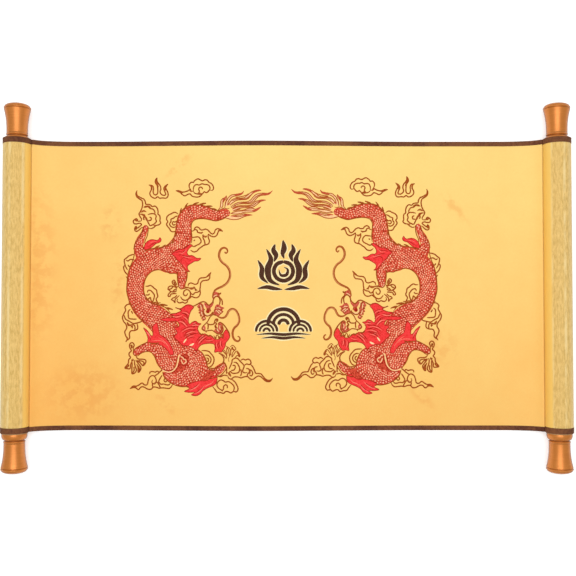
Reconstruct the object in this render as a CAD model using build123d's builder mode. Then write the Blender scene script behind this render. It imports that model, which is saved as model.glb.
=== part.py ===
from build123d import *

import os
from math import cos, radians, sin

os.makedirs("parts", exist_ok=True)

# Open scroll that lies face up: X along the sheet, Y along the rollers, Z up.
# The origin is on the table, midway between the rollers.

# Sheet: paper face and brocade back, glued together
sheet_height = 287.0
sheet_offset = 2.4
paper_thickness = 0.25
brocade_thickness = 0.25
glue_gap = 0.03

# Brown binding folded over both long edges
binding_thickness = 0.2
binding_gap = 0.02
face_binding_width = 4.7
back_binding_width = 5.5

# Rollers: the rods end just inside the rolls
roller_spacing = 530.4
rod_diameter = 25.0
rod_end_inset = 1.5
spigot_diameter = 10.0
spigot_length = 12.0
spigot_clearance = 0.05
bore_bottom_clearance = 0.5

# Knobs: lengths follow each other from the rod's end outward
bead_clearance = 0.35
bead_height = 2.15
bead_length = 5.2
groove_depth = 0.9
groove_width = 1.2
waist_length = 27.0
rim_length = 1.9
dome_height = 3.6
flare_drop = 0.5
waist_steps = 3
round_steps = 2

# How the sheet lies: one wrap round each rod, a pinched fold, a ramp and a low arch
wrap_clearance = 0.05
wrap_gap = 11.0
fold_angle = -20.0
fold_radius = 1.6
fold_slope = 42.0
ramp_slope = 14.0
ramp_bend_radius = 26.0
left_flat = 18.0
right_flat = 78.8
arch_slope = 2.4
hollow_share = 0.125
crest_share = 0.25

# Print: skins of ink on the paper, drawn from the middle of the sheet
ink_thickness = 0.06
disc_sides = 12
dragon_spine = [
    (-60, 73), (-75, 70), (-90, 77), (-102, 66), (-103, 48), (-112, 35), (-132, 27),
    (-148, 12), (-152, -8), (-143, -27), (-128, -43), (-120, -62), (-117, -82),
    (-104, -94), (-88, -86), (-84, -68), (-92, -50), (-97, -38),
]
dragon_widths = [5, 9, 12, 14, 16, 17, 18, 18, 18, 17, 15, 12]
legs = [
    [(-134, 26), (-142, 38), (-136, 50), (-138, 60)],
    [(-108, 34), (-99, 22), (-98, 8), (-101, -2)],
    [(-124, -58), (-136, -57), (-145, -64), (-149, -72)],
    [(-90, -84), (-78, -84), (-69, -76), (-66, -68)],
]
leg_widths = [11, 8, 5]
claws = [
    ((-138, 60), [(-153, 58), (-152, 71), (-139, 74)]),
    ((-101, -2), [(-114, -8), (-107, -18), (-97, -16)]),
    ((-149, -72), [(-159, -79), (-153, -90), (-141, -85)]),
    ((-66, -68), [(-67, -54), (-55, -55), (-53, -68)]),
]
tail_flames = [(-16, 94), (-25, 84), (-35, 70), (-44, 93)]
mane_flames = [
    ((-97, -24), (-120, -13)), ((-98, -34), (-121, -33)), ((-93, -42), (-110, -54)),
    ((-84, -40), (-86, -61)), ((-76, -38), (-74, -58)),
]
joint_flames = [
    ((-131, 34), (-112, 45)), ((-104, 20), (-85, 14)), ((-130, -62), (-140, -44)),
    ((-84, -89), (-90, -109)),
]
head_centre = (-88, -28)
head_radius = 12.0
eye_centre = (-87, -25)
eye_radius = 2.6
jaws = [((-86, -21), (-63, -17)), ((-86, -35), (-65, -32))]
jaw_width = 10.0
horns = [((-90, -18), (-100, 6)), ((-85, -17), (-90, 4))]
whiskers = [
    [(-70, -17), (-61, -3), (-57, 14), (-63, 27), (-60, 37), (-54, 33)],
    [(-70, -33), (-58, -24), (-50, -29), (-49, -42), (-52, -52), (-44, -54)],
]
whisker_widths = [2.4, 1.8, 1.2]
clouds = [
    ((-86, 99), 9, (-112, 95)), ((-84, 48), 9, (-65, 55)), ((-162, 22), 7, (-163, 8)),
    ((-158, -30), 8, (-162, -56)), ((-130, -97), 8, (-158, -103)), ((-48, -84), 9, (-15, -94)),
    ((-134, 84), 8, (-152, 97)),
]
pearl_centre = (0, 12)
pearl_radius = 11.0
pearl_flame_width = 10.0
pearl_flames = [(90, 32), (45, 27), (135, 27)]
wave_base = -53.0
wave_gap = 1.5
waves = [(0, 8, 17), (-17, 0, 13), (17, 0, 13)]
wave_trim = (100, 40)

# Distances of each layer's faces from the glue line (+ is the printed side)
paper_layer = (glue_gap / 2, glue_gap / 2 + paper_thickness)
brocade_layer = (-glue_gap / 2 - brocade_thickness, -glue_gap / 2)
binding_face = paper_layer[1] + binding_gap + binding_thickness
binding_back = brocade_layer[0] - binding_gap - binding_thickness
face_binding_layer = (binding_face - binding_thickness, binding_face)
back_binding_layer = (binding_back, binding_back + binding_thickness)
binding_layer = (binding_back, binding_face)
ink_layer = (paper_layer[1] + binding_gap, paper_layer[1] + binding_gap + ink_thickness)

rod_length = sheet_height - 2 * rod_end_inset
wrap_radius = rod_diameter / 2 + wrap_clearance + binding_face
roller_height = wrap_radius - binding_back
flare_radius = roller_height - flare_drop
valley_height = -binding_back

top_edge = sheet_offset + sheet_height / 2
bottom_edge = sheet_offset - sheet_height / 2
edge_inset = binding_thickness + binding_gap
layer_width = sheet_height - 2 * edge_inset


def toward(angle, distance):
    """Step of a length in a direction given in degrees."""
    return Vector(distance * cos(radians(angle)), distance * sin(radians(angle)))


# The wrap ends where the fold begins, and the fold turns into the ramp
fold_turn = fold_angle + 90 + fold_slope
fold_start = toward(fold_angle, wrap_radius)
fold_end = fold_start + toward(fold_angle, fold_radius) + toward(90 - fold_slope, fold_radius)
bend_run = ramp_bend_radius * (sin(radians(fold_slope)) - sin(radians(ramp_slope)))
bend_drop = ramp_bend_radius * (cos(radians(ramp_slope)) - cos(radians(fold_slope)))
ramp_drop = roller_height + fold_end.Y - bend_drop - valley_height
ramp_radius = ramp_drop / (1 - cos(radians(ramp_slope)))
end_run = fold_end.X + bend_run + ramp_radius * sin(radians(ramp_slope))

arch_length = roller_spacing - 2 * end_run - left_flat - right_flat
hollow_radius = arch_length * hollow_share / sin(radians(arch_slope))
crest_radius = arch_length * crest_share / 2 / sin(radians(arch_slope))
slope_share = (1 - crest_share) / 2 - hollow_share
slope_length = arch_length * slope_share / cos(radians(arch_slope))

# Stretches of the sheet from left to right: straight (length, 0) or bend (radius, turn)
wrap_to_ramp = [
    (wrap_radius, 360 - wrap_gap),
    (fold_radius, -fold_turn),
    (ramp_bend_radius, fold_slope - ramp_slope),
    (ramp_radius, ramp_slope),
]
reading_run = [
    (left_flat, 0),
    (hollow_radius, arch_slope),
    (slope_length, 0),
    (crest_radius, -2 * arch_slope),
    (slope_length, 0),
    (hollow_radius, arch_slope),
    (right_flat, 0),
]
whole_run = wrap_to_ramp + reading_run + wrap_to_ramp[::-1]
free_end_angle = fold_angle + wrap_gap
wrap_start = Vector(-roller_spacing / 2, roller_height) + toward(free_end_angle, wrap_radius)
reading_start = Vector(-roller_spacing / 2 + end_run, valley_height)


def layer_section(layer, run, start, heading, y):
    """Section of a layer that follows a run of straights and bends, at a place across."""
    with BuildSketch(Plane.XZ.offset(-y)) as section:
        with BuildLine():
            ends = []
            for distance in layer:
                point = start + toward(heading + 90, distance)
                direction = heading
                ends.append(point)
                for size, turn in run:
                    if turn == 0:
                        stretch = PolarLine(point, size, direction)
                    else:
                        radius = size - distance if turn > 0 else size + distance
                        stretch = JernArc(point, toward(direction, 1), radius, turn)
                    point = stretch @ 1
                    direction += turn
                ends.append(point)
            Line(ends[0], ends[2])
            Line(ends[1], ends[3])
        make_face()
    return section.sketch


def whole_section(layer, y):
    """Section of a layer from the left wrap's free end to the right one's."""
    return layer_section(layer, whole_run, wrap_start, free_end_angle + 90, y)


# Printed paper and its brocade back, inside the bindings
with BuildPart() as face_paper:
    extrude(whole_section(paper_layer, top_edge - edge_inset), amount=layer_width)
face_paper.part.label = "face_paper"
export_step(face_paper.part, "parts/face_paper.step")

with BuildPart() as brocade_backing:
    extrude(whole_section(brocade_layer, top_edge - edge_inset), amount=layer_width)
brocade_backing.part.label = "brocade_backing"
export_step(brocade_backing.part, "parts/brocade_backing.step")

# Bindings: a web outside the sheet's edge, and a lap on the face and on the back
for name, edge_y, inward in (("top_binding", top_edge, 1), ("bottom_binding", bottom_edge, -1)):
    with BuildPart() as binding:
        extrude(whole_section(binding_layer, edge_y), amount=inward * binding_thickness)
        extrude(whole_section(face_binding_layer, edge_y), amount=inward * face_binding_width)
        extrude(whole_section(back_binding_layer, edge_y), amount=inward * back_binding_width)
    binding.part.label = name
    export_step(binding.part, f"parts/{name}.step")


def stepped(curve, steps):
    """Line through points at even steps of a curve."""
    return Polyline(*[curve @ (step / steps) for step in range(steps + 1)])


def knob_profile():
    """Closed half profile of a knob: radius across, distance from the rod's end along."""
    bead = rod_diameter / 2 - bead_clearance
    neck = bead - bead_height
    spigot = spigot_diameter / 2 - spigot_clearance
    waist_start = bead_length + groove_width
    rim_start = waist_start + waist_length
    rim_end = rim_start + rim_length
    tip = (0, rim_end + dome_height)
    flare = (flare_radius, rim_start)
    Polyline((0, -spigot_length), (spigot, -spigot_length), (spigot, 0), (neck, 0))
    bead_arc = ThreePointArc(
        (neck, 0), (bead, bead_length / 2), (neck, bead_length), mode=Mode.PRIVATE
    )
    waist_arc = TangentArc((neck, waist_start), flare, tangent=(0, 1), mode=Mode.PRIVATE)
    dome_arc = TangentArc(tip, (flare_radius, rim_end), tangent=(1, 0), mode=Mode.PRIVATE)
    stepped(bead_arc, round_steps + 1)
    Polyline(
        (neck, bead_length),
        (neck - groove_depth, bead_length + groove_width / 2),
        (neck, waist_start),
    )
    stepped(waist_arc, waist_steps)
    Line(flare, (flare_radius, rim_end))
    stepped(dome_arc, round_steps)
    Line(tip, (0, -spigot_length))


# Rollers: a rod with a blind bore in each end
axis_places = (-roller_spacing / 2, roller_spacing / 2)
for side, axis_x in zip(("left", "right"), axis_places):
    with BuildPart() as rod:
        with BuildSketch(Plane.XZ.offset(-rod_length / 2)):
            with Locations((axis_x, roller_height)):
                Circle(rod_diameter / 2)
        extrude(amount=rod_length)
        ends = rod.faces().filter_by(Axis.Y)
        with Locations(*ends):
            Hole(spigot_diameter / 2, spigot_length + bore_bottom_clearance)
    rod.part.label = f"{side}_roller_rod"
    export_step(rod.part, f"parts/{side}_roller_rod.step")

# Four knobs, glued in the rods' bores
with BuildPart() as turned_knobs:
    for axis_x in axis_places:
        for outward in (1, -1):
            seat = Vector(axis_x, outward * rod_length / 2, roller_height)
            with BuildSketch(Plane(seat, x_dir=(1, 0, 0), z_dir=(0, 0, outward))):
                with BuildLine():
                    knob_profile()
                make_face()
            revolve(axis=Axis(seat, (0, 1, 0)))
turned_knobs.part.label = "turned_knobs"
export_step(turned_knobs.part, "parts/turned_knobs.step")


def spike(base, tip, width):
    """Straight spike from the middle of its base to its tip."""
    root, point = Vector(*base), Vector(*tip)
    half = (point - root).normalized().rotate(Axis.Z, 90) * (width / 2)
    with BuildSketch() as shape:
        with BuildLine():
            Polyline(root + half, point, root - half, close=True)
        make_face()
    return shape.sketch


def band(points, widths, steps):
    """Band along a smooth spine through points, with its widths at even steps."""
    spine = Spline(*points, mode=Mode.PRIVATE)
    left_side, right_side = [], []
    for step in range(steps + 1):
        share = step / steps
        place = share * (len(widths) - 1)
        first = min(int(place), len(widths) - 2)
        width = widths[first] + (widths[first + 1] - widths[first]) * (place - first)
        half = (spine % share).rotate(Axis.Z, 90) * (width / 2)
        left_side.append(spine @ share + half)
        right_side.append(spine @ share - half)
    with BuildSketch() as shape:
        with BuildLine():
            Polyline(*left_side, *right_side[::-1], close=True)
        make_face()
    return shape.sketch


def dragon_shapes():
    """Left dragon's red fields."""
    with BuildSketch() as shapes:
        add(band(dragon_spine, dragon_widths, 20))
        for leg in legs:
            add(band(leg, leg_widths, 2))
        for palm, tips in claws:
            for tip in tips:
                add(spike(palm, tip, 5))
        for tip in tail_flames:
            add(spike(dragon_spine[0], tip, 6))
        for base, tip in mane_flames + joint_flames:
            add(spike(base, tip, 9))
        for base, tip in horns:
            add(spike(base, tip, 4))
        for whisker in whiskers:
            add(band(whisker, whisker_widths, 5))
        with Locations(head_centre):
            RegularPolygon(head_radius, 8)
        for base, tip in jaws:
            add(spike(base, tip, jaw_width))
        with Locations(eye_centre):
            RegularPolygon(eye_radius, 6, mode=Mode.SUBTRACT)
    return shapes.sketch


def cloud_shapes():
    """Left dragon's clouds: a puff with a wisp for a tail."""
    with BuildSketch() as shapes:
        for centre, size, tail_tip in clouds:
            with Locations(centre):
                RegularPolygon(size * 0.9, 6)
            add(spike(centre, tail_tip, size))
    return shapes.sketch


def ornament_shapes():
    """Flaming pearl above three waves."""
    with BuildSketch() as shapes:
        with Locations(pearl_centre):
            RegularPolygon(pearl_radius, disc_sides)
        for angle, reach in pearl_flames:
            root = Vector(*pearl_centre) + toward(angle, pearl_radius * 0.9)
            tip = Vector(*pearl_centre) + toward(angle, reach)
            add(spike((root.X, root.Y), (tip.X, tip.Y), pearl_flame_width))
        for place_x, place_y, radius in waves:
            with Locations((place_x, wave_base + place_y)):
                RegularPolygon(radius + wave_gap, disc_sides, mode=Mode.SUBTRACT)
                RegularPolygon(radius, disc_sides)
        with Locations((0, wave_base)):
            Rectangle(*wave_trim, align=(Align.CENTER, Align.MAX), mode=Mode.SUBTRACT)
    return shapes.sketch


prints = {
    "left_dragon_print": dragon_shapes(),
    "right_dragon_print": mirror(dragon_shapes(), about=Plane.YZ),
    "left_cloud_print": cloud_shapes() - dragon_shapes(),
    "right_cloud_print": mirror(cloud_shapes() - dragon_shapes(), about=Plane.YZ),
    "centre_ornament_print": ornament_shapes(),
}
ink_section = layer_section(ink_layer, reading_run, reading_start, 0, top_edge - edge_inset)
for name, shapes in prints.items():
    with BuildPart() as ink:
        extrude(ink_section, amount=layer_width)
        outlines = shapes.moved(Location((0, sheet_offset, 0)))
        extrude(outlines, amount=2 * roller_height, mode=Mode.INTERSECT)
    ink.part.label = name
    export_step(ink.part, f"parts/{name}.step")
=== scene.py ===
"""Looks of an open paper scroll on two turned rollers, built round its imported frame.

Sizes in the classes are millimetres and degrees, every mesh is made in metres, and
the materials' own sizes are metres too.
"""

from __future__ import annotations

import logging
import math
import random
from bisect import bisect_right
from dataclasses import dataclass, field, replace
from enum import Enum
from typing import Sequence

import bmesh
import bpy
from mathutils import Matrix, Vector

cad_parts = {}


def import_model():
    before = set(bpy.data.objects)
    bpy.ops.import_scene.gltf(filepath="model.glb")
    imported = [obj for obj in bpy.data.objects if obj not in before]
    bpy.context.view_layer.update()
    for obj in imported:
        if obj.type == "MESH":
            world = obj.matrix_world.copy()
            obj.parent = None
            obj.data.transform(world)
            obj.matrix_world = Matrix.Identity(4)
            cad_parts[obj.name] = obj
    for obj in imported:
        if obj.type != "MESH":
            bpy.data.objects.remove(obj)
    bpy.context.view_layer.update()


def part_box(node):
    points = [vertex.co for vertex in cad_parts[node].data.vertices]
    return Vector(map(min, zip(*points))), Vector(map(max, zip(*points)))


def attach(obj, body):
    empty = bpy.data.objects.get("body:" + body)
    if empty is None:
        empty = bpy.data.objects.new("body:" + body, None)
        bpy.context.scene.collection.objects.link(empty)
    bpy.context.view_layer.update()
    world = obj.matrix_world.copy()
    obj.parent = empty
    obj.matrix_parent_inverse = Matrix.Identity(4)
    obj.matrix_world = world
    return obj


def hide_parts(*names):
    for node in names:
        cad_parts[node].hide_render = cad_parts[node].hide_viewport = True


LOG = logging.getLogger("scroll")
MM = 0.001
CARRIER = "root"
CLOTH_MAP = "Cloth"
RODS = ("left_roller_rod", "right_roller_rod")
WHITE = (1.0, 1.0, 1.0, 1.0)
Place = tuple[float, ...]
Colour = tuple[float, float, float, float]
Socket = bpy.types.NodeSocket


def shade(code: str) -> Colour:
    """Linear colour of a six-digit screen colour.

    Args:
        code: red, green and blue as two hexadecimal digits each.

    Returns:
        The same colour in linear light, with full alpha.
    """
    parts = [int(code[i : i + 2], 16) / 255 for i in (0, 2, 4)]
    linear = [c / 12.92 if c <= 0.04045 else ((c + 0.055) / 1.055) ** 2.4 for c in parts]
    return (linear[0], linear[1], linear[2], 1.0)


def sine(degrees: float) -> float:
    """Sine of an angle in degrees."""
    return math.sin(math.radians(degrees))


def cosine(degrees: float) -> float:
    """Cosine of an angle in degrees."""
    return math.cos(math.radians(degrees))


def shares(count: int) -> list[float]:
    """Equal steps from just over 0 up to 1."""
    return [i / count for i in range(1, count + 1)]


# Node building


class Graph:
    """Thin wrapper that adds and joins nodes in a node tree."""

    def __init__(self, tree: bpy.types.NodeTree) -> None:
        """Keeps the tree that nodes are added to."""
        self.tree = tree

    def feed(self, node: bpy.types.Node, **inputs: object) -> None:
        """Joins or sets inputs of a node.

        Args:
            node: the node.
            inputs: a value or an output socket for each input, by its name with
                underscores for spaces, or by number as i0, i1 and so on.
        """
        for key, value in inputs.items():
            by_number = key[0] == "i" and key[1:].isdigit()
            socket = node.inputs[int(key[1:]) if by_number else key.replace("_", " ")]
            if isinstance(value, Socket):
                self.tree.links.new(value, socket)
            else:
                socket.default_value = value

    def add(self, kind: str, settings: dict | None = None, **inputs: object) -> bpy.types.Node:
        """Adds one node.

        Args:
            kind: the node's type name.
            settings: attributes of the node itself.
            inputs: its inputs, as feed takes them.

        Returns:
            The new node.
        """
        node = self.tree.nodes.new(kind)
        for key, value in (settings or {}).items():
            setattr(node, key, value)
        self.feed(node, **inputs)
        return node

    def calc(self, operation: str, a: object, b: object = 0.0, clamp: bool = False) -> Socket:
        """Adds a Math node and returns its output."""
        return self.add("ShaderNodeMath", {"operation": operation, "use_clamp": clamp}, i0=a, i1=b).outputs[0]

    def mix(self, share: object, a: object, b: object) -> Socket:
        """Adds a colour Mix node and returns its colour."""
        return self.add("ShaderNodeMix", {"data_type": "RGBA"}, i0=share, i6=a, i7=b).outputs[2]

    def span(
        self, value: object, low: float, high: float, to_low: float = 0.0, to_high: float = 1.0,
        smooth: bool = True,
    ) -> Socket:
        """Adds a Map Range node.

        Args:
            value: what is mapped.
            low: the value that gives to_low.
            high: the value that gives to_high.
            to_low: what low turns into.
            to_high: what high turns into.
            smooth: whether both ends are eased.

        Returns:
            The mapped value.
        """
        easing = {"interpolation_type": "SMOOTHSTEP" if smooth else "LINEAR"}
        node = self.add("ShaderNodeMapRange", easing, i0=value, i1=low, i2=high, i3=to_low, i4=to_high)
        return node.outputs[0]

    def bump(self, height: Socket, strength: object, depth: float, under: Socket | None = None) -> Socket:
        """Adds a Bump node.

        Args:
            height: the height that it reads.
            strength: how strong it is.
            depth: the height's distance in metres.
            under: the normal that it goes on top of, if there is one.

        Returns:
            The new normal.
        """
        node = self.add("ShaderNodeBump", Height=height, Strength=strength, Distance=depth)
        if under is not None:
            self.feed(node, Normal=under)
        return node.outputs[0]

    def cloth_place(self) -> Socket:
        """Adds the UV map in metres that swept pieces carry."""
        return self.add("ShaderNodeUVMap", {"uv_map": CLOTH_MAP}).outputs[0]

    def object_place(self) -> Socket:
        """Adds the object's own coordinates."""
        return self.add("ShaderNodeTexCoord").outputs["Object"]


def effect_tree(
    name: str, inputs: Sequence[tuple[str, str, object]], output: str
) -> tuple[Graph, Sequence[Socket], bpy.types.Node]:
    """Starts a shader node group with one output.

    Args:
        name: the group's name.
        inputs: socket name, socket type and default value of each input.
        output: name of the output.

    Returns:
        The group's graph, its inputs and its output node.
    """
    tree = bpy.data.node_groups.new(name, "ShaderNodeTree")
    for label, kind, value in inputs:
        socket = tree.interface.new_socket(name=label, in_out="INPUT", socket_type=kind)
        if value is not None:
            socket.default_value = value
    tree.interface.new_socket(name=output, in_out="OUTPUT", socket_type="NodeSocketFloat")
    return Graph(tree), tree.nodes.new("NodeGroupInput").outputs, tree.nodes.new("NodeGroupOutput")


def mottle_tree() -> bpy.types.NodeTree:
    """Builds the group of soft blotches at two scales.

    Returns:
        The group, with a Mask output from 0 to 1.
    """
    inputs = [
        ("Vector", "NodeSocketVector", None), ("Broad", "NodeSocketFloat", 10.0),
        ("Close", "NodeSocketFloat", 60.0), ("Share", "NodeSocketFloat", 0.4),
    ]
    g, given, sink = effect_tree("mottle", inputs, "Mask")
    broad = g.add("ShaderNodeTexNoise", Vector=given[0], Scale=given[1], Detail=3.0, Distortion=0.4)
    close = g.add("ShaderNodeTexNoise", Vector=given[0], Scale=given[2], Detail=6.0, Roughness=0.62)
    both = g.add("ShaderNodeMix", {"data_type": "FLOAT"}, i0=given[3])
    g.feed(both, i2=broad.outputs[0], i3=close.outputs[0])
    g.feed(sink, i0=both.outputs[0])
    return g.tree


def grain_tree() -> bpy.types.NodeTree:
    """Builds the group of fine grain, which can be stretched.

    Returns:
        The group, with a Mask output from 0 to 1.
    """
    inputs = [
        ("Vector", "NodeSocketVector", None), ("Across", "NodeSocketVector", (1.0, 1.0, 1.0)),
        ("Scale", "NodeSocketFloat", 300.0), ("Roughness", "NodeSocketFloat", 0.6),
    ]
    g, given, sink = effect_tree("grain", inputs, "Mask")
    stretched = g.add("ShaderNodeVectorMath", {"operation": "MULTIPLY"}, i0=given[0], i1=given[1])
    noise = g.add(
        "ShaderNodeTexNoise", Vector=stretched.outputs[0], Scale=given[2], Detail=4.0, Roughness=given[3]
    )
    g.feed(sink, i0=noise.outputs[0])
    return g.tree


def weave_tree() -> bpy.types.NodeTree:
    """Builds the group of a plain weave of two thread directions.

    Returns:
        The group, with a Height output from 0 to 1.
    """
    inputs = [("Vector", "NodeSocketVector", None), ("Threads", "NodeSocketFloat", 1500.0)]
    g, given, sink = effect_tree("weave", inputs, "Height")
    parts = g.add("ShaderNodeSeparateXYZ", Vector=given[0]).outputs
    turn = g.calc("MULTIPLY", given[1], math.tau)
    warp = g.calc("SINE", g.calc("MULTIPLY", parts[0], turn))
    weft = g.calc("SINE", g.calc("MULTIPLY", parts[1], turn))
    height = g.calc("MULTIPLY_ADD", g.calc("MULTIPLY", warp, weft), 0.5)
    g.feed(height.node, i2=0.5)
    g.feed(sink, i0=height)
    return g.tree


class Effect(Enum):
    """Shader node groups that several finishes share, each built once."""

    MOTTLE = "mottle"
    GRAIN = "grain"
    WEAVE = "weave"

    def on(self, graph: Graph, **inputs: object) -> Socket:
        """Places the effect in a material.

        Args:
            graph: the material's graph.
            inputs: the group's inputs, as Graph.feed takes them.

        Returns:
            The effect's mask or height.
        """
        tree = bpy.data.node_groups.get(self.value)
        if tree is None:
            tree = {"mottle": mottle_tree, "grain": grain_tree, "weave": weave_tree}[self.value]()
        return graph.add("ShaderNodeGroup", {"node_tree": tree}, **inputs).outputs[0]


# Finishes


@dataclass(frozen=True)
class Finish:
    """A finish: its name, and how its material is made."""

    name: str

    def nodes(self, graph: Graph, surface: bpy.types.Node) -> None:
        """Builds the finish's nodes.

        Args:
            graph: the material's graph.
            surface: its Principled shader.
        """
        raise NotImplementedError

    def material(self) -> bpy.types.Material:
        """Makes the material, or returns it if it is already made.

        Returns:
            The material.
        """
        made = bpy.data.materials.get(self.name)
        if made is None:
            made = bpy.data.materials.new(self.name)
            made.use_nodes = True
            self.nodes(Graph(made.node_tree), made.node_tree.nodes["Principled BSDF"])
        return made


@dataclass(frozen=True)
class Stain:
    """A faint stain on the paper, in mm from the sheet's middle."""

    x: float
    y: float
    half_length: float
    half_width: float
    degrees: float
    strength: float = 0.38

    def share(self, graph: Graph, spot: Socket) -> Socket:
        """Works out how strong the stain is at a place.

        Args:
            graph: the material's graph.
            spot: the place in metres.

        Returns:
            The stain's share, 0 outside it.
        """
        around = graph.add(
            "ShaderNodeMapping", {"vector_type": "TEXTURE"}, Vector=spot,
            Location=(self.x * MM, self.y * MM, 0.0), Rotation=(0.0, 0.0, math.radians(self.degrees)),
            Scale=(self.half_length * MM, self.half_width * MM, 1.0),
        )
        reach = graph.add("ShaderNodeVectorMath", {"operation": "LENGTH"}, i0=around.outputs[0])
        return graph.span(reach.outputs["Value"], 0.3, 1.2, self.strength, 0.0)


@dataclass(frozen=True)
class AgedPaper(Finish):
    """Yellow paper that has darkened unevenly, with soft mottling, stains and short fibres, and with painted
    light falloff that draws it lighter towards the head and the right.
    """

    name: str = "aged_paper"
    light: str = "FFDB82"
    warm: str = "F9B558"
    stain: str = "EEA04C"
    stains: tuple[Stain, ...] = (
        Stain(-108, 121, 20, 5, 45), Stain(-120, -115, 18, 5, -45), Stain(166, 81, 26, 6, -50),
        Stain(133, -108, 20, 6, -42), Stain(-202, -104, 44, 34, 0, 0.42), Stain(-176, 64, 12, 20, 0),
        Stain(-168, 4, 8, 34, 0), Stain(-246, 20, 20, 90, 0), Stain(150, -60, 24, 22, 30, 0.3),
    )
    height: float = 0.287
    middle: float = 0.0024
    painted_light_at_foot: float = 0.11
    painted_light_at_head: float = 0.66
    painted_light_right_span: tuple[float, float] = (0.08, 0.3)
    painted_light_at_right: float = 0.28
    blotches: float = 0.14
    speckles: float = 0.05

    def nodes(self, graph: Graph, surface: bpy.types.Node) -> None:
        """Builds the paper's ageing, its painted light falloff, stains and fibres.

        Args:
            graph: the material's graph.
            surface: its Principled shader.
        """
        place = graph.cloth_place()
        parts = graph.add("ShaderNodeSeparateXYZ", Vector=place).outputs
        low = self.middle - self.height / 2
        # Painted light falloff: the paper is drawn lighter towards the sheet's head and towards its right.
        lights = (self.painted_light_at_foot, self.painted_light_at_head)
        rise = graph.span(parts[1], low, low + self.height, *lights, smooth=False)
        run = graph.span(parts[0], *self.painted_light_right_span, 0.0, self.painted_light_at_right)
        blotch = Effect.MOTTLE.on(graph, Vector=place, Broad=8.0, Close=55.0, Share=0.36)
        fibres = Effect.GRAIN.on(graph, Vector=place, Scale=420.0)
        uneven = graph.span(blotch, 0.3, 0.7, -self.blotches, self.blotches, smooth=False)
        speckle = graph.span(fibres, 0.3, 0.7, -self.speckles, self.speckles, smooth=False)
        age_and_painted_light = graph.calc("ADD", graph.calc("ADD", rise, run), graph.calc("ADD", uneven, speckle), clamp=True)
        colour = graph.mix(age_and_painted_light, shade(self.warm), shade(self.light))
        spot = graph.object_place()
        broken = graph.span(Effect.GRAIN.on(graph, Vector=place, Scale=95.0), 0.42, 0.6)
        for stain in self.stains:
            share = graph.calc("MULTIPLY", stain.share(graph, spot), broken)
            colour = graph.mix(share, colour, shade(self.stain))
        graph.feed(
            surface, Base_Color=colour, Roughness=0.62, Specular_IOR_Level=0.25,
            Normal=graph.bump(fibres, 0.25, 0.0002),
        )


@dataclass(frozen=True)
class GoldBrocade(Finish):
    """Gold cloth with broken painted highlights along the roller and a plain painted reflection of the sheet
    at each end.
    """

    name: str = "gold_brocade"
    length: float = 0.67
    thread: str = "F4CC7A"
    deep: str = "D2AA58"
    gleam: str = "FFE4A2"
    shadow: str = "B08A3C"
    satin: str = "FFD16C"
    left_reflection: float = 0.0112
    right_reflection: float = 0.0132
    reflection_fade: tuple[float, float] = (0.0022, 0.0008)
    highlight_bands: tuple[float, ...] = (0.0125, 0.0251)
    shade_band: float = 0.0188
    floor_reflection_side: tuple[float, float] = (0.0265, 0.033)

    def strip(self, graph: Graph, distance: Socket, width: float) -> Socket:
        """Share of the plain painted reflection of the sheet, at a distance from one end."""
        before, after = self.reflection_fade
        return graph.span(distance, width - before, width + after, 1.0, 0.0)

    def nodes(self, graph: Graph, surface: bpy.types.Node) -> None:
        """Builds the brocade's threads and weave, its painted highlights, shade and glints, and the painted
        reflection of the sheet at each end.

        Args:
            graph: the material's graph.
            surface: its Principled shader.
        """
        place = graph.cloth_place()
        along = graph.add("ShaderNodeSeparateXYZ", Vector=place).outputs[0]
        from_right = graph.calc("SUBTRACT", self.length, along)
        near_end = graph.calc("MINIMUM", along, from_right)
        streak = Effect.GRAIN.on(graph, Vector=place, Across=(1.0, 0.22, 1.0), Scale=680.0)
        patch = Effect.GRAIN.on(graph, Vector=place, Across=(1.0, 0.3, 1.0), Scale=110.0)
        speck = Effect.GRAIN.on(graph, Vector=place, Across=(1.0, 0.6, 1.0), Scale=1300.0, Roughness=0.75)
        colour = graph.mix(graph.span(streak, 0.3, 0.66), shade(self.deep), shade(self.thread))
        # Painted highlights: two bright bands at set places round the wrap, broken up by patches, standing
        # for the lights' reflections.
        for line in self.highlight_bands:
            off = graph.calc("ABSOLUTE", graph.calc("SUBTRACT", near_end, line))
            worn = graph.span(patch, 0.4, 0.6, 0.2, 1.0)
            bright = graph.calc("MULTIPLY", graph.span(off, 0.0005, 0.0022, 0.7, 0.0), worn)
            colour = graph.mix(bright, colour, shade(self.gleam))
        # Painted shade: a darker band between the two painted highlights.
        off = graph.calc("ABSOLUTE", graph.calc("SUBTRACT", near_end, self.shade_band))
        colour = graph.mix(graph.span(off, 0.0015, 0.0065, 0.35, 0.0), colour, shade(self.deep))
        # Painted reflection of the pale floor: lighter colour towards the roll's outer side.
        colour = graph.mix(graph.span(near_end, *self.floor_reflection_side, 0.0, 0.45), colour, shade(self.gleam))
        # Painted glints as bright specks, and painted shade as dark specks.
        colour = graph.mix(graph.span(speck, 0.56, 0.72, 0.0, 0.75), colour, shade(self.gleam))
        colour = graph.mix(graph.span(speck, 0.44, 0.3, 0.0, 0.4), colour, shade(self.shadow))
        # Painted reflection of the yellow sheet: a smooth orange band at each end, where the wrap faces the
        # sheet.
        reflection_left = self.strip(graph, along, self.left_reflection)
        plain = graph.calc("MAXIMUM", reflection_left, self.strip(graph, from_right, self.right_reflection))
        colour = graph.mix(plain, colour, shade(self.satin))
        cover = graph.calc("SUBTRACT", 1.0, graph.calc("MULTIPLY", plain, 0.85))
        relief = graph.calc("MULTIPLY", cover, 0.5)
        normal = graph.bump(streak, relief, 0.0005)
        normal = graph.bump(speck, relief, 0.0003, under=normal)
        weave = Effect.WEAVE.on(graph, Vector=place, Threads=1250.0)
        graph.feed(
            surface, Base_Color=colour, Metallic=0.08, Roughness=graph.span(streak, 0.3, 0.7, 0.6, 0.46),
            Specular_IOR_Level=0.4, Normal=graph.bump(weave, 0.3, 0.0001, under=normal),
        )


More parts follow.
